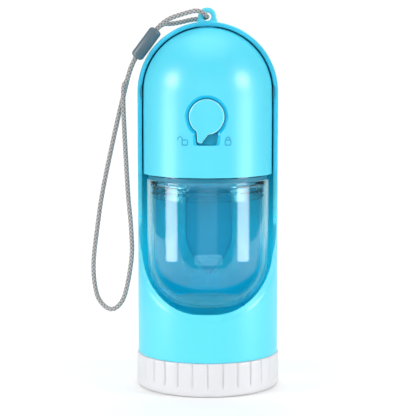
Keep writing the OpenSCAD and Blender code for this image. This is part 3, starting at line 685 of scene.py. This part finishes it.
# %% Join the shell
rows, cols = outer_wall.shape[:2]
wall_faces = grid_faces(rows, cols)
inner_faces = wall_faces[:, ::-1]
rim_strip = np.stack([outer_wall[:, 0], inner_wall[:, 0]], axis=1)
open_row = np.linalg.norm(outer_wall[:, 0] - outer_wall[::-1, 0], axis=1) > 1e-5
rim_faces = grid_faces(rows, 2)[open_row[:-1] | open_row[1:]]
foot_left = np.stack([outer_wall[0], inner_wall[0]], axis=1)
foot_right = np.stack([outer_wall[-1], inner_wall[-1]], axis=1)
foot_faces = grid_faces(cols, 2)
shell_points, shell_faces = join_parts([
    (outer_wall, wall_faces), (inner_wall, inner_faces), (rim_strip, rim_faces),
    (foot_left, foot_faces), (foot_right, foot_faces)])


def soften_rim(obj):
    """A small rounding on the shell's real edges only."""
    bevel = obj.modifiers.new("edge rounding", "BEVEL")
    bevel.limit_method = "ANGLE"
    bevel.angle_limit = math.radians(50)
    bevel.width = 0.35 * MM
    bevel.segments = 2


shell = piece("trough_shell_moulded", shell_points, shell_faces, BLUE_ABS, "trough", "blue_shell",
              sharp=40, replaces=("trough_shell",), modify=soften_rim)
# Painted light and shade on the shell: faces inside the wall get the painted bounce-light blue, the
# channel on the back wall gets painted shade.
face_x, face_y, face_z = face_values(shell, "center").T
above = np.maximum(face_z - FOLD_Z, 0)
inside = np.sqrt(face_x ** 2 + face_y ** 2 + above ** 2) < SHELL_R - 1.3 * MM
around_z = np.hypot(face_x, face_y)
in_tongue = (around_z > SHELL_IN_R + 0.4 * MM) & (around_z < SHELL_R - 0.6 * MM) & (face_y > 0)
in_tongue &= (np.abs(face_x) < 14 * MM) & (np.abs(face_z - 84 * MM) < 34 * MM)
more_finishes(shell, np.where(in_tongue, 2, inside), BOUNCE_LIGHT_PAINT_ABS, CHANNEL_SHADE_PAINT_ABS)
piece("trough_lug", lug, grid_faces(lug.shape[0], lug.shape[1], True, True),
      BLUE_ABS, "trough", "blue_shell", sharp=50)
skirt_parts = join_parts([(skirt, grid_faces(len(skirt_profile), 128, True, True)),
                          thread(SKIRT_R, THREAD_LOW, 1, LEAD, THREAD_HIGH, 1)])
piece("trough_skirt", *skirt_parts, BLUE_ABS, "trough", "blue_shell", sharp=35)

# %% [markdown]
# ## Base cap
# The food compartment's screw cap is white polypropylene with thirty grip grooves that run out
# softly above the rounded foot. It is turned from one profile, and the radius is set back along
# each groove; between grooves the wall is very slightly pillowed, which is what catches the light.

# %% Base cap piece
GROOVES = 30
GROOVE_DEEP = 0.75 * MM
GROOVE_END = 5 * MM
PILLOW = 0.12 * MM
FOOT_ROUND = 2.5 * MM
CAP_BORE = 34.6 * MM
CAP_FLOOR = 2.2 * MM
FIRST_GROOVE = -89
pitch = 360 / GROOVES
offsets = np.array([-6, -4.2, -2.4, -1.2, -0.7, -0.45, -0.2, 0, 0.2, 0.45, 0.7, 1.2, 2.4, 4.2])
cap_angle = (np.arange(GROOVES)[:, None] * pitch + offsets[None, :]).reshape(-1)
cap_angle = np.radians(cap_angle + FIRST_GROOVE)
cap_offset = np.tile(offsets, GROOVES)
foot_turn = np.linspace(0, math.pi / 2, 8)
side_z = np.concatenate([np.linspace(FOOT_ROUND + 0.6 * MM, 9 * MM, 10),
                         np.linspace(10 * MM, CAP_TOP - 0.5 * MM, 5)])
POLE_R = 1e-6
MIDWAY_R = 20 * MM
cap_profile = [(POLE_R, 0), (MIDWAY_R, 0), (CAP_R - FOOT_ROUND - 3 * MM, 0)]
cap_profile += [(CAP_R - FOOT_ROUND + FOOT_ROUND * math.sin(a),
                 FOOT_ROUND - FOOT_ROUND * math.cos(a)) for a in foot_turn]
cap_profile += [(CAP_R, z) for z in side_z]
cap_profile += [(CAP_R - 0.1 * MM, CAP_TOP - 0.2 * MM), (CAP_R - 0.4 * MM, CAP_TOP),
                (CAP_BORE, CAP_TOP), (CAP_BORE, CAP_TOP - 1 * MM), (CAP_BORE, CAP_FLOOR),
                (MIDWAY_R, CAP_FLOOR), (POLE_R, CAP_FLOOR)]
cap_profile = np.array(cap_profile)
r_grid, a_grid = np.meshgrid(cap_profile[:, 0], cap_angle, indexing="ij")
z_grid = np.repeat(cap_profile[:, 1][:, None], len(cap_angle), axis=1)
o_grid = np.repeat(cap_offset[None, :], len(cap_profile), axis=0)
on_side = (r_grid > CAP_R - 0.6 * MM) * ramp(z_grid, GROOVE_END - 1.2 * MM, GROOVE_END + 1.2 * MM)
groove = 1 - ramp(np.abs(o_grid), 0.15, 0.95)
pillow = (np.abs(np.abs(o_grid) - pitch / 2) / (pitch / 2)) ** 2
cap_r = r_grid - on_side * (GROOVE_DEEP * groove + PILLOW * pillow)
cap_points = np.stack([cap_r * np.cos(a_grid), cap_r * np.sin(a_grid), z_grid], axis=-1)
cap_parts = join_parts([(cap_points, grid_faces(len(cap_profile), len(cap_angle), wrap_cols=True)),
                        thread(CAP_BORE, THREAD_LOW + LEAD / 2, 1, LEAD, THREAD_HIGH, -1)])
piece("base_cap_ribbed", *cap_parts, WHITE_PP, "base", "cap_white", sharp=40,
      replaces=("base_cap",))

# %% [markdown]
# ## Water tank
# The tank is a clear beaker with a bowl-shaped bottom and a flat foot. One closed profile of outer
# wall, rounded rim and inner wall is turned about its axis.

# %% Tank piece
TANK_WALL = 1.9 * MM
TANK_TOP = tank_high[2]
TANK_LOW = tank_low[2]
TANK_CORNER = 25 * MM
FLAT_CUT = 2 * MM
TANK_IN_R = TANK_R - TANK_WALL
TANK_SIDES = 160
BOWL_ROWS = 26
RIM_ROUND, RIM_CUT = 0.5 * MM, 0.15 * MM
corner_z0 = TANK_LOW - FLAT_CUT + TANK_CORNER
corner_r0 = TANK_R - TANK_CORNER


def bowl(inset, count):
    """Points from the flat foot up the rounded corner, for the wall's face at this inset."""
    radius = TANK_CORNER - inset
    start = math.acos(min(1.0, (TANK_CORNER - FLAT_CUT - inset) / radius))
    a = np.linspace(start, math.pi / 2, count)
    return np.stack([corner_r0 + radius * np.sin(a), corner_z0 - radius * np.cos(a)], axis=-1)


outer_bowl = bowl(0, BOWL_ROWS)
inner_bowl = bowl(TANK_WALL, BOWL_ROWS)
foot_r = outer_bowl[0, 0]
straight_z = np.linspace(corner_z0 + 4 * MM, TANK_TOP - RIM_ROUND, 12)
tank_profile = np.concatenate([
    [[POLE_R, TANK_LOW], [foot_r - RIM_ROUND, TANK_LOW]], outer_bowl[1:],
    [[TANK_R, z] for z in straight_z],
    [[TANK_R - RIM_CUT, TANK_TOP - RIM_CUT], [TANK_R - RIM_ROUND, TANK_TOP],
     [TANK_IN_R + RIM_ROUND, TANK_TOP], [TANK_IN_R + RIM_CUT, TANK_TOP - RIM_CUT]],
    [[TANK_IN_R, z] for z in straight_z[::-1]],
    inner_bowl[::-1], [[POLE_R, inner_bowl[0, 1]]]])
tank_points = turned(tank_profile, TANK_SIDES)
piece("water_tank_clear", tank_points,
      grid_faces(len(tank_profile), TANK_SIDES, wrap_cols=True),
      CLEAR, "tank", "tank_clear", sharp=50, replaces=("water_tank",))

# %% [markdown]
# ## Bottle head
# The head is a domed cap with a dished recess for the button in front and an outlet well behind.
# Its skin is a grid of rows and columns round a capsule. A square hole is left in the grid at each
# recess, and filled by rings that run from the hole's edge in to the recess's outline. The rings
# near the outline keep an even distance to it, so they lie along the dish. Solidify gives the wall.

# %% Recess outlines
GAP = 0.35 * MM
POCKET_R = BUTTON_R + GAP
LOCK_SWING = math.radians(joints["lock_turn"]["range_deg"][1])
POINTER_L = (BUTTON_Z - button_low[2]) / math.cos(LOCK_SWING / 2) - 0.5 * MM
SLOT_HALF = 5.5 * MM
SLOT_LOW = POINTER_L + 0.65 * MM
DISH_W = 1.7 * MM
DISH_DEEP = 1.5 * MM
POCKET_FLOOR_Y = -25.2 * MM
OUTLET_R = 11 * MM
OUTLET_FLOOR_Y = 19 * MM
SQUARENESS = 9
DISH_RINGS = np.array([0, 0.06, 0.14, 0.26, 0.4, 0.6, 0.8, 0.95, 1.0, 1.04, 1.14])
DISH_CURVE = 1.15


def pocket_outline(angle):
    """Distance from the button's axis to the recess's edge: a disc and a rounded slot below it."""
    wide = (np.abs(np.cos(angle)) / SLOT_HALF) ** SQUARENESS
    low = (np.abs(np.sin(angle)) / SLOT_LOW) ** SQUARENESS
    slot = (wide + low) ** (-1 / SQUARENESS)
    return np.where(np.sin(angle) < -0.2, np.maximum(POCKET_R, slot), POCKET_R)


def outlet_outline(angle):
    """The outlet well is a plain circle."""
    return np.full_like(angle, OUTLET_R)


# %% Head skin
FRONT_COLS = 81
BACK_COLS = 29


def column_angles():
    """Angles round the head from the front, close together over the two recesses."""
    front = np.linspace(-15.8, 15.8, FRONT_COLS) * MM / HEAD_R
    back = math.pi + np.linspace(-14, 14, BACK_COLS) * MM / HEAD_R
    right = np.linspace(front[-1], back[0], 28)[1:-1]
    left = np.linspace(back[-1], front[0] + 2 * math.pi, 28)[1:-1]
    return np.concatenate([front, right, back, left])


def recess_patch(columns, rows, side, outline, dish_w, dish_deep, floor_y):
    """Rings from a square hole in the grid to a recess's edge, down its wall, over its floor."""
    hole_x = HEAD_R * np.sin(columns) * (1 if side < 0 else -1)
    order = np.argsort(hole_x)
    xs = hole_x[order]
    edge = [(x, rows[0]) for x in xs] + [(xs[-1], z) for z in rows[1:]]
    edge += [(x, rows[-1]) for x in xs[::-1][1:]] + [(xs[0], z) for z in rows[::-1][1:-1]]
    edge = np.array(edge)
    angle = np.arctan2(edge[:, 1] - BUTTON_Z, edge[:, 0])
    reach = outline(angle)
    inner = np.stack([reach * np.cos(angle), BUTTON_Z + reach * np.sin(angle)], axis=-1)
    gap = np.linalg.norm(edge - inner, axis=1)
    low_edge = BUTTON_Z - SLOT_LOW
    ray = (edge - inner) / gap[:, None]
    tangent = np.roll(inner, -1, axis=0) - np.roll(inner, 1, axis=0)
    square = np.abs(tangent[:, 1] * ray[:, 0] - tangent[:, 0] * ray[:, 1])
    square = square / np.linalg.norm(tangent, axis=1)
    near = DISH_RINGS * dish_w
    stretch = np.minimum(1 / np.maximum(square, 0.5), 0.85 * gap / near[-1])
    for _ in range(4):
        stretch = (np.roll(stretch, 1) + 2 * stretch + np.roll(stretch, -1)) / 4
    rings = []
    for share in (1.0, 0.75, 0.5, 0.25):
        distance = near[-1] * stretch + share * (gap - near[-1] * stretch)
        rings.append((inner + (edge - inner) * (distance / gap)[:, None], np.zeros_like(gap)))
    for distance in near[::-1]:
        slope = max(0.0, 1 - distance / dish_w)
        flat = inner + ray * (distance * stretch)[:, None]
        shallow = 0.3 + 0.7 * ramp(flat[:, 1], BUTTON_Z - 10.5 * MM, BUTTON_Z - 7.5 * MM)
        above_foot = ramp(flat[:, 1], low_edge - 0.3 * MM, low_edge + 1.0 * MM)
        rings.append((flat, above_foot * dish_deep * shallow * slope ** DISH_CURVE))
    rows3d = []
    for flat, depth in rings:
        surface = np.sqrt(HEAD_R ** 2 - flat[:, 0] ** 2)
        rows3d.append(np.stack([flat[:, 0], side * (surface - depth), flat[:, 1]], axis=-1))
    mouth = rows3d[-1]
    for share in (0.08, 0.3, 0.65, 0.97, 1.0):
        wall = mouth.copy()
        wall[:, 1] = mouth[:, 1] + share * (floor_y - mouth[:, 1])
        rows3d.append(wall)
    for share in (0.96, 0.7, 0.4, 0.15, 0.0):
        floor = rows3d[-1].copy()
        floor[:, 0] = mouth[:, 0] * share
        floor[:, 2] = BUTTON_Z + (mouth[:, 2] - BUTTON_Z) * share
        rows3d.append(floor)
    return np.array(rows3d)


angles = column_angles()
front_rows = np.linspace(BUTTON_Z - 17.2 * MM, FOLD_Z, 72)
low_rows = np.linspace(head_low[2] + 1 * MM, front_rows[0], 14)[:-1]
wall_z = np.concatenate([low_rows, front_rows])
dome = np.linspace(0, math.pi / 2, 32)[1:]
skin_z = np.concatenate([wall_z, FOLD_Z + HEAD_R * np.sin(dome)])
skin_r = np.concatenate([np.full(len(wall_z), HEAD_R), HEAD_R * np.cos(dome)])
skin = np.stack([skin_r[:, None] * np.sin(angles), -skin_r[:, None] * np.cos(angles),
                 np.repeat(skin_z[:, None], len(angles), axis=1)], axis=-1)
quads = grid_faces(len(skin_z), len(angles), wrap_cols=True)
row_of, col_of = quads[:, 0] // len(angles), quads[:, 0] % len(angles)
front_lo, front_hi = len(low_rows), len(wall_z) - 1
back_lo = front_lo + int(np.argmin(np.abs(front_rows - (BUTTON_Z - 13 * MM))))
back_first = FRONT_COLS + 26
in_front = (row_of >= front_lo) & (row_of < front_hi) & (col_of < FRONT_COLS - 1)
in_back = (row_of >= back_lo) & (row_of < front_hi)
in_back &= (col_of >= back_first) & (col_of < back_first + BACK_COLS - 1)
kept = quads[~(in_front | in_back)]
front_patch = recess_patch(angles[:FRONT_COLS], front_rows, -1, pocket_outline,
                           DISH_W, DISH_DEEP, POCKET_FLOOR_Y)
back_patch = recess_patch(angles[back_first:back_first + BACK_COLS], wall_z[back_lo:], 1,
                          outlet_outline, 0.6 * MM, 0.25 * MM, OUTLET_FLOOR_Y)
head_points, head_faces = join_parts([
    (skin, kept), (front_patch, grid_faces(*front_patch.shape[:2], wrap_cols=True)),
    (back_patch, grid_faces(*back_patch.shape[:2], wrap_cols=True))])


def give_wall(obj):
    """A two millimetre wall inside the skin."""
    solid = obj.modifiers.new("wall", "SOLIDIFY")
    solid.thickness = 2.0 * MM
    solid.offset = -1
    solid.use_rim = True


head = piece("head_shell_moulded", head_points, head_faces, BLUE_ABS, "bottle_head", "blue_shell",
             sharp=38, replaces=("head_shell",), modify=give_wall)
# Painted light and shade on the head: the dish round the button gets painted shade, the slot's floor
# the painted bounce-light blue.
face_x, face_y, face_z = face_values(head, "center").T
in_dish = (np.hypot(face_x, face_y) < HEAD_R - 0.06 * MM) & (face_y < -20 * MM)
in_dish &= (np.abs(face_x) < 13.5 * MM) & (face_z < BUTTON_Z + 12 * MM)
in_dish &= face_z > BUTTON_Z - SLOT_LOW - 0.4 * MM
on_floor = in_dish & (face_y > -25.4 * MM)
more_finishes(head, np.where(on_floor, 2, in_dish), DISH_SHADE_PAINT_ABS, BOUNCE_LIGHT_PAINT_ABS)

# %% [markdown]
# ## Lock button
# The button is a disc that runs out into a pointer. Its outline is given by one distance for each
# direction, its face follows the head's curve with a hint of crown, and its edge is rounded over.
# The pale line round it is a painted highlight: the faces that turn away over the rounded edge are
# pale blue.

# %% Button outline and piece
POINTER_TURN = -math.pi / 2 - LOCK_SWING / 2
POINTER_TIP_R = 1.6 * MM
POINTER_ROOT = 3.1 * MM
BUTTON_BACK_Y = -28.5 * MM
EDGE_ROUND = 0.55 * MM
CROWN = 0.25 * MM
FACE_DROP = 0.25 * MM
ROOT_BLEND = 0.1 * MM
ROOT_AT = 0.33


def button_outline(angle):
    """The disc's radius, or the ray's length to the tapered pointer's side or round tip."""
    away = (angle - POINTER_TURN + math.pi) % (2 * math.pi) - math.pi
    s, c = np.abs(np.sin(away)), np.maximum(np.cos(away), 1e-6)
    tip_at = POINTER_L - POINTER_TIP_R
    root_at = BUTTON_R - 1 * MM
    slope = (POINTER_ROOT - POINTER_TIP_R) / (tip_at - root_at)
    flank = (POINTER_ROOT + slope * root_at) / (s + slope * c)
    inside = np.maximum(POINTER_TIP_R ** 2 - (tip_at * s) ** 2, 0)
    tip = np.where(tip_at * s < POINTER_TIP_R, tip_at * c + np.sqrt(inside), 0)
    reach = np.where(flank * c > tip_at, tip, flank)
    pointer = np.where((c > 0.5) & (reach > 0), reach, 0)
    blend = ROOT_BLEND * np.exp(-((np.abs(away) - ROOT_AT) / 0.06) ** 2) * (c > 0)
    return np.maximum(BUTTON_R, pointer) + blend


base_angle = np.linspace(0, 2 * math.pi, 150, endpoint=False)
tip_angle = POINTER_TURN + np.linspace(-0.42, 0.42, 70)
b_angle = np.unique(np.concatenate([base_angle, tip_angle % (2 * math.pi)]))
b_reach = button_outline(b_angle)


def button_ring(share, inset, drop_y, back=None):
    """One ring of the button: the outline scaled and inset, on the face's curve or flat back."""
    radius = np.maximum(b_reach * share - inset, 0)
    x, z = radius * np.cos(b_angle), radius * np.sin(b_angle)
    bulge = CROWN * (1 - np.minimum(radius / BUTTON_R, 1) ** 2)
    face = -np.sqrt(HEAD_R ** 2 - x ** 2) - bulge + drop_y
    y = face if back is None else np.full_like(x, back)
    return np.stack([x, y, BUTTON_Z + z], axis=-1)


face_rows = [button_ring(s, 0, FACE_DROP) for s in (0, 0.2, 0.4, 0.6, 0.8, 0.9)]
edge_rows = [button_ring(1, EDGE_ROUND * (1 - math.sin(a)),
                         FACE_DROP + EDGE_ROUND * (1 - math.cos(a)))
             for a in np.linspace(0, math.pi / 2, 7)]
back_rows = [button_ring(s, 0, 0, BUTTON_BACK_Y) for s in (1, 0.5, 0)]
button_points = np.array(face_rows + edge_rows + back_rows)
button = piece("lock_button_moulded", button_points,
               grid_faces(*button_points.shape[:2], wrap_cols=True),
               BLUE_ABS, "button", "blue_shell", sharp=50, replaces=("lock_button",))
# Painted highlight: the faces that turn away over the rounded edge get the pale blue.
facing_x, facing_y, facing_z = face_values(button, "normal").T
edge_highlight_faces = (facing_y < -0.15) & (np.abs(facing_z) + np.abs(facing_x) > 0.45)
more_finishes(button, edge_highlight_faces, EDGE_HIGHLIGHT_PAINT_ABS)

# %% [markdown]
# ## Padlock marks
# An open padlock on the left and a closed one on the right say which way the pointer locks. They
# are moulded as fine raised lines, so each is a thin tube half sunk in the head's face, carried
# along an outline that is bent round the head. Their darker blue is painted shade.

# %% Marks
LINE_R = 0.27 * MM
LINE_SIDES = 8


def mark_line(path_xz):
    """A fine tube along a path on the head's front face."""
    path = np.array(path_xz) * MM
    line = np.stack([path[:, 0], -np.sqrt(HEAD_R ** 2 - path[:, 0] ** 2), path[:, 1]], axis=-1)
    along, side, up = carried_frames(line)
    theta = np.linspace(0, 2 * math.pi, LINE_SIDES, endpoint=False)
    points = line[:, None] + LINE_R * (np.cos(theta)[None, :, None] * side[:, None]
                                       + np.sin(theta)[None, :, None] * up[:, None])
    faces = grid_faces(len(line), LINE_SIDES, wrap_cols=True)
    caps = np.array([[7, 6, 5, 4], [7, 4, 3, 0], [3, 2, 1, 0]])
    last = LINE_SIDES * (len(line) - 1)
    return points, np.concatenate([faces, caps, last + caps[:, ::-1]])


def box_path(x0, z0, x1, z1):
    """Four sides of a small box, with the corners cut."""
    k = 0.35
    return [(x0 + k, z0), (x1 - k, z0), (x1, z0 + k), (x1, z1 - k), (x1 - k, z1), (x0 + k, z1),
            (x0, z1 - k), (x0, z0 + k), (x0 + k, z0), (x0 + 2 * k, z0)]


def bow_path(x, z, half, leg_left, leg_right):
    """A padlock's bow: a left leg, a half circle and a right leg."""
    arc = [(x + half * math.cos(a), z + half * math.sin(a)) for a in np.linspace(math.pi, 0, 13)]
    return [(x - half, z - leg_left)] + arc + [(x + half, z - leg_right)]


MARK_LOW = BUTTON_Z / MM - 14.1  # in millimetres, as the paths are
marks = join_parts([
    mark_line(box_path(-12.3, MARK_LOW, -9.6, MARK_LOW + 2.6)),
    mark_line(bow_path(-13.4, MARK_LOW + 3.0, 1.1, 0.5, 0.4)),
    mark_line(box_path(9.3, MARK_LOW, 12.1, MARK_LOW + 2.6)),
    mark_line(bow_path(10.7, MARK_LOW + 3.0, 1.0, 0.4, 0.4))])
# The marks' darker blue is painted shade on the raised lines.
piece("padlock_marks", *marks, MARK_SHADE_PAINT_ABS, "bottle_head", "blue_shell", sharp=60)

# %% [markdown]
# ## Frame pieces that stay
# The collar, seals, pins, spring and valve keep their CAD shapes: only their materials change.

# %% Materials of the CAD pieces
# The divider disc takes the painted bounce-light blue of the inner wall.
FINISHES = {
    "divider_disc": BOUNCE_LIGHT_PAINT_ABS, "divider_seal": SILICONE, "base_gasket": SILICONE,
    "neck_collar": COLLAR_CLEAR, "collar_seal": SEAL_TEAL, "neck_gasket": SEAL_TEAL,
    "left_pivot_pin": DARK_STEEL, "right_pivot_pin": DARK_STEEL, "left_pivot_washer": PIVOT_PP,
    "right_pivot_washer": PIVOT_PP, "button_clip": NYLON, "return_spring": STEEL,
    "valve_stem": NYLON, "stem_gland": NYLON, "stem_o_ring": SILICONE, "valve_seal": SILICONE,
    "seal_washer": STEEL, "seal_screw": STEEL, "outlet_seat": SILICONE,
}
for node_name, finish in FINISHES.items():
    obj = frame["nodes"][node_name]
    obj.data.materials.clear()
    obj.data.materials.append(finish)
print("CAD pieces finished:", len(FINISHES))

# %% [markdown]
# ## Floor, walls and light
# The picture is a plain white studio: a white paper floor that runs up into a backdrop. Two soft
# lights stand left and right. Cards beside them show only in reflections: they make the pale
# stripes on the shell and tank. A broad light above, a fill in front and one on the backdrop keep
# the shadows soft; the last two do not show in reflections. The surround looks white to the camera
# but gives little light, so that it does not cloud the tank.

# %% Stage
stage_material, stage_shader, stage_coords, _ = start_material("white_studio_paper", Roughness=0.9)
paper = add(stage_material, "ShaderNodeTexNoise", {"Scale": 40.0},
            {"Vector": stage_coords.outputs["Object"]})
paper_tone = add(stage_material, "ShaderNodeMixRGB",
                 {"Color1": linear("FEFEFE"), "Color2": linear("FBFBFB")},
                 {"Fac": paper.outputs["Fac"]})
feed(stage_material, stage_shader, Base_Color=paper_tone.outputs["Color"])
STAGE_HALF, STAGE_FRONT, STAGE_TOP = 0.62, -0.35, 3.5
BEND_AT, BEND_R = 1.5, 1.0
bend = [(BEND_AT + BEND_R * math.sin(a), BEND_R - BEND_R * math.cos(a))
        for a in np.linspace(0, math.pi / 2, 16)]
sweep = [(STAGE_FRONT, 0.0)] + bend + [(BEND_AT + BEND_R, STAGE_TOP)]
stage_points = np.array([[(x, y, z) for y, z in sweep] for x in (-STAGE_HALF, STAGE_HALF)])
stage_mesh = merged_mesh("studio_sweep", stage_points, grid_faces(2, len(sweep)))
stage = bpy.data.objects.new("studio_sweep", stage_mesh)
stage_mesh.materials.append(stage_material)
stage_mesh.polygons.foreach_set("use_smooth", np.ones(len(stage_mesh.polygons), bool))
bpy.context.scene.collection.objects.link(stage)

# %% Lights
world = bpy.data.worlds.new("white_surround")
world.use_nodes = True
background = world.node_tree.nodes["Background"]
background.inputs["Color"].default_value = (1.0, 1.0, 1.0, 1.0)
seen = add(world, "ShaderNodeLightPath")
surround = add(world, "ShaderNodeMapRange", {"To Min": 0.15, "To Max": 0.95},
               {"Value": seen.outputs["Is Camera Ray"]})
feed(world, background, Strength=surround.outputs["Result"])
bpy.context.scene.world = world


def soft_light(name, at, aim, width, height, watts):
    """An area light at a place in metres, turned to face a point."""
    data = bpy.data.lights.new(name, "AREA")
    data.shape = "RECTANGLE"
    data.size, data.size_y, data.energy = width, height, watts
    light = bpy.data.objects.new(name, data)
    light.location = at
    ahead = np.array(aim) - np.array(at)
    flat = math.hypot(ahead[0], ahead[1])
    light.rotation_euler = (math.atan2(flat, -ahead[2]), 0, math.atan2(-ahead[0], ahead[1]))
    bpy.context.scene.collection.objects.link(light)
    return light


UPPER_BODY = (0, 0, 0.15)
for side, tag in ((-1, "left"), (1, "right")):
    beside = (side * 1.02, -0.42, 0.5)
    soft_light(tag + "_soft_light", beside, UPPER_BODY, 0.42, 0.42, 5.4)
    card = soft_light(tag + "_high_card", beside, UPPER_BODY, 0.3, 0.3, 6.5)
    card.visible_diffuse = False
    low = (side * 0.42, -0.15, 0.078)
    card = soft_light(tag + "_low_card", low, (0, 0, 0.078), 0.2, 0.15, 0.7)
    card.visible_diffuse = False
soft_light("top_soft_light", (0.0, 0.0, 1.35), (0, 0, 0.1), 1.1, 1.1, 6.5)
fill = soft_light("front_fill", (0.0, -1.3, 0.4), (0, 0, 0.1), 1.5, 0.7, 7.4)
fill.visible_glossy = False
card = soft_light("front_card", (0.0, -1.25, 0.0), (0, 0, 0.0), 0.84, 0.9, 0.8)
card.visible_diffuse = False
back = soft_light("backdrop_light", (0.0, 1.0, 1.9), (0, 2.0, 0.1), 2.5, 0.5, 35)
back.visible_glossy = False
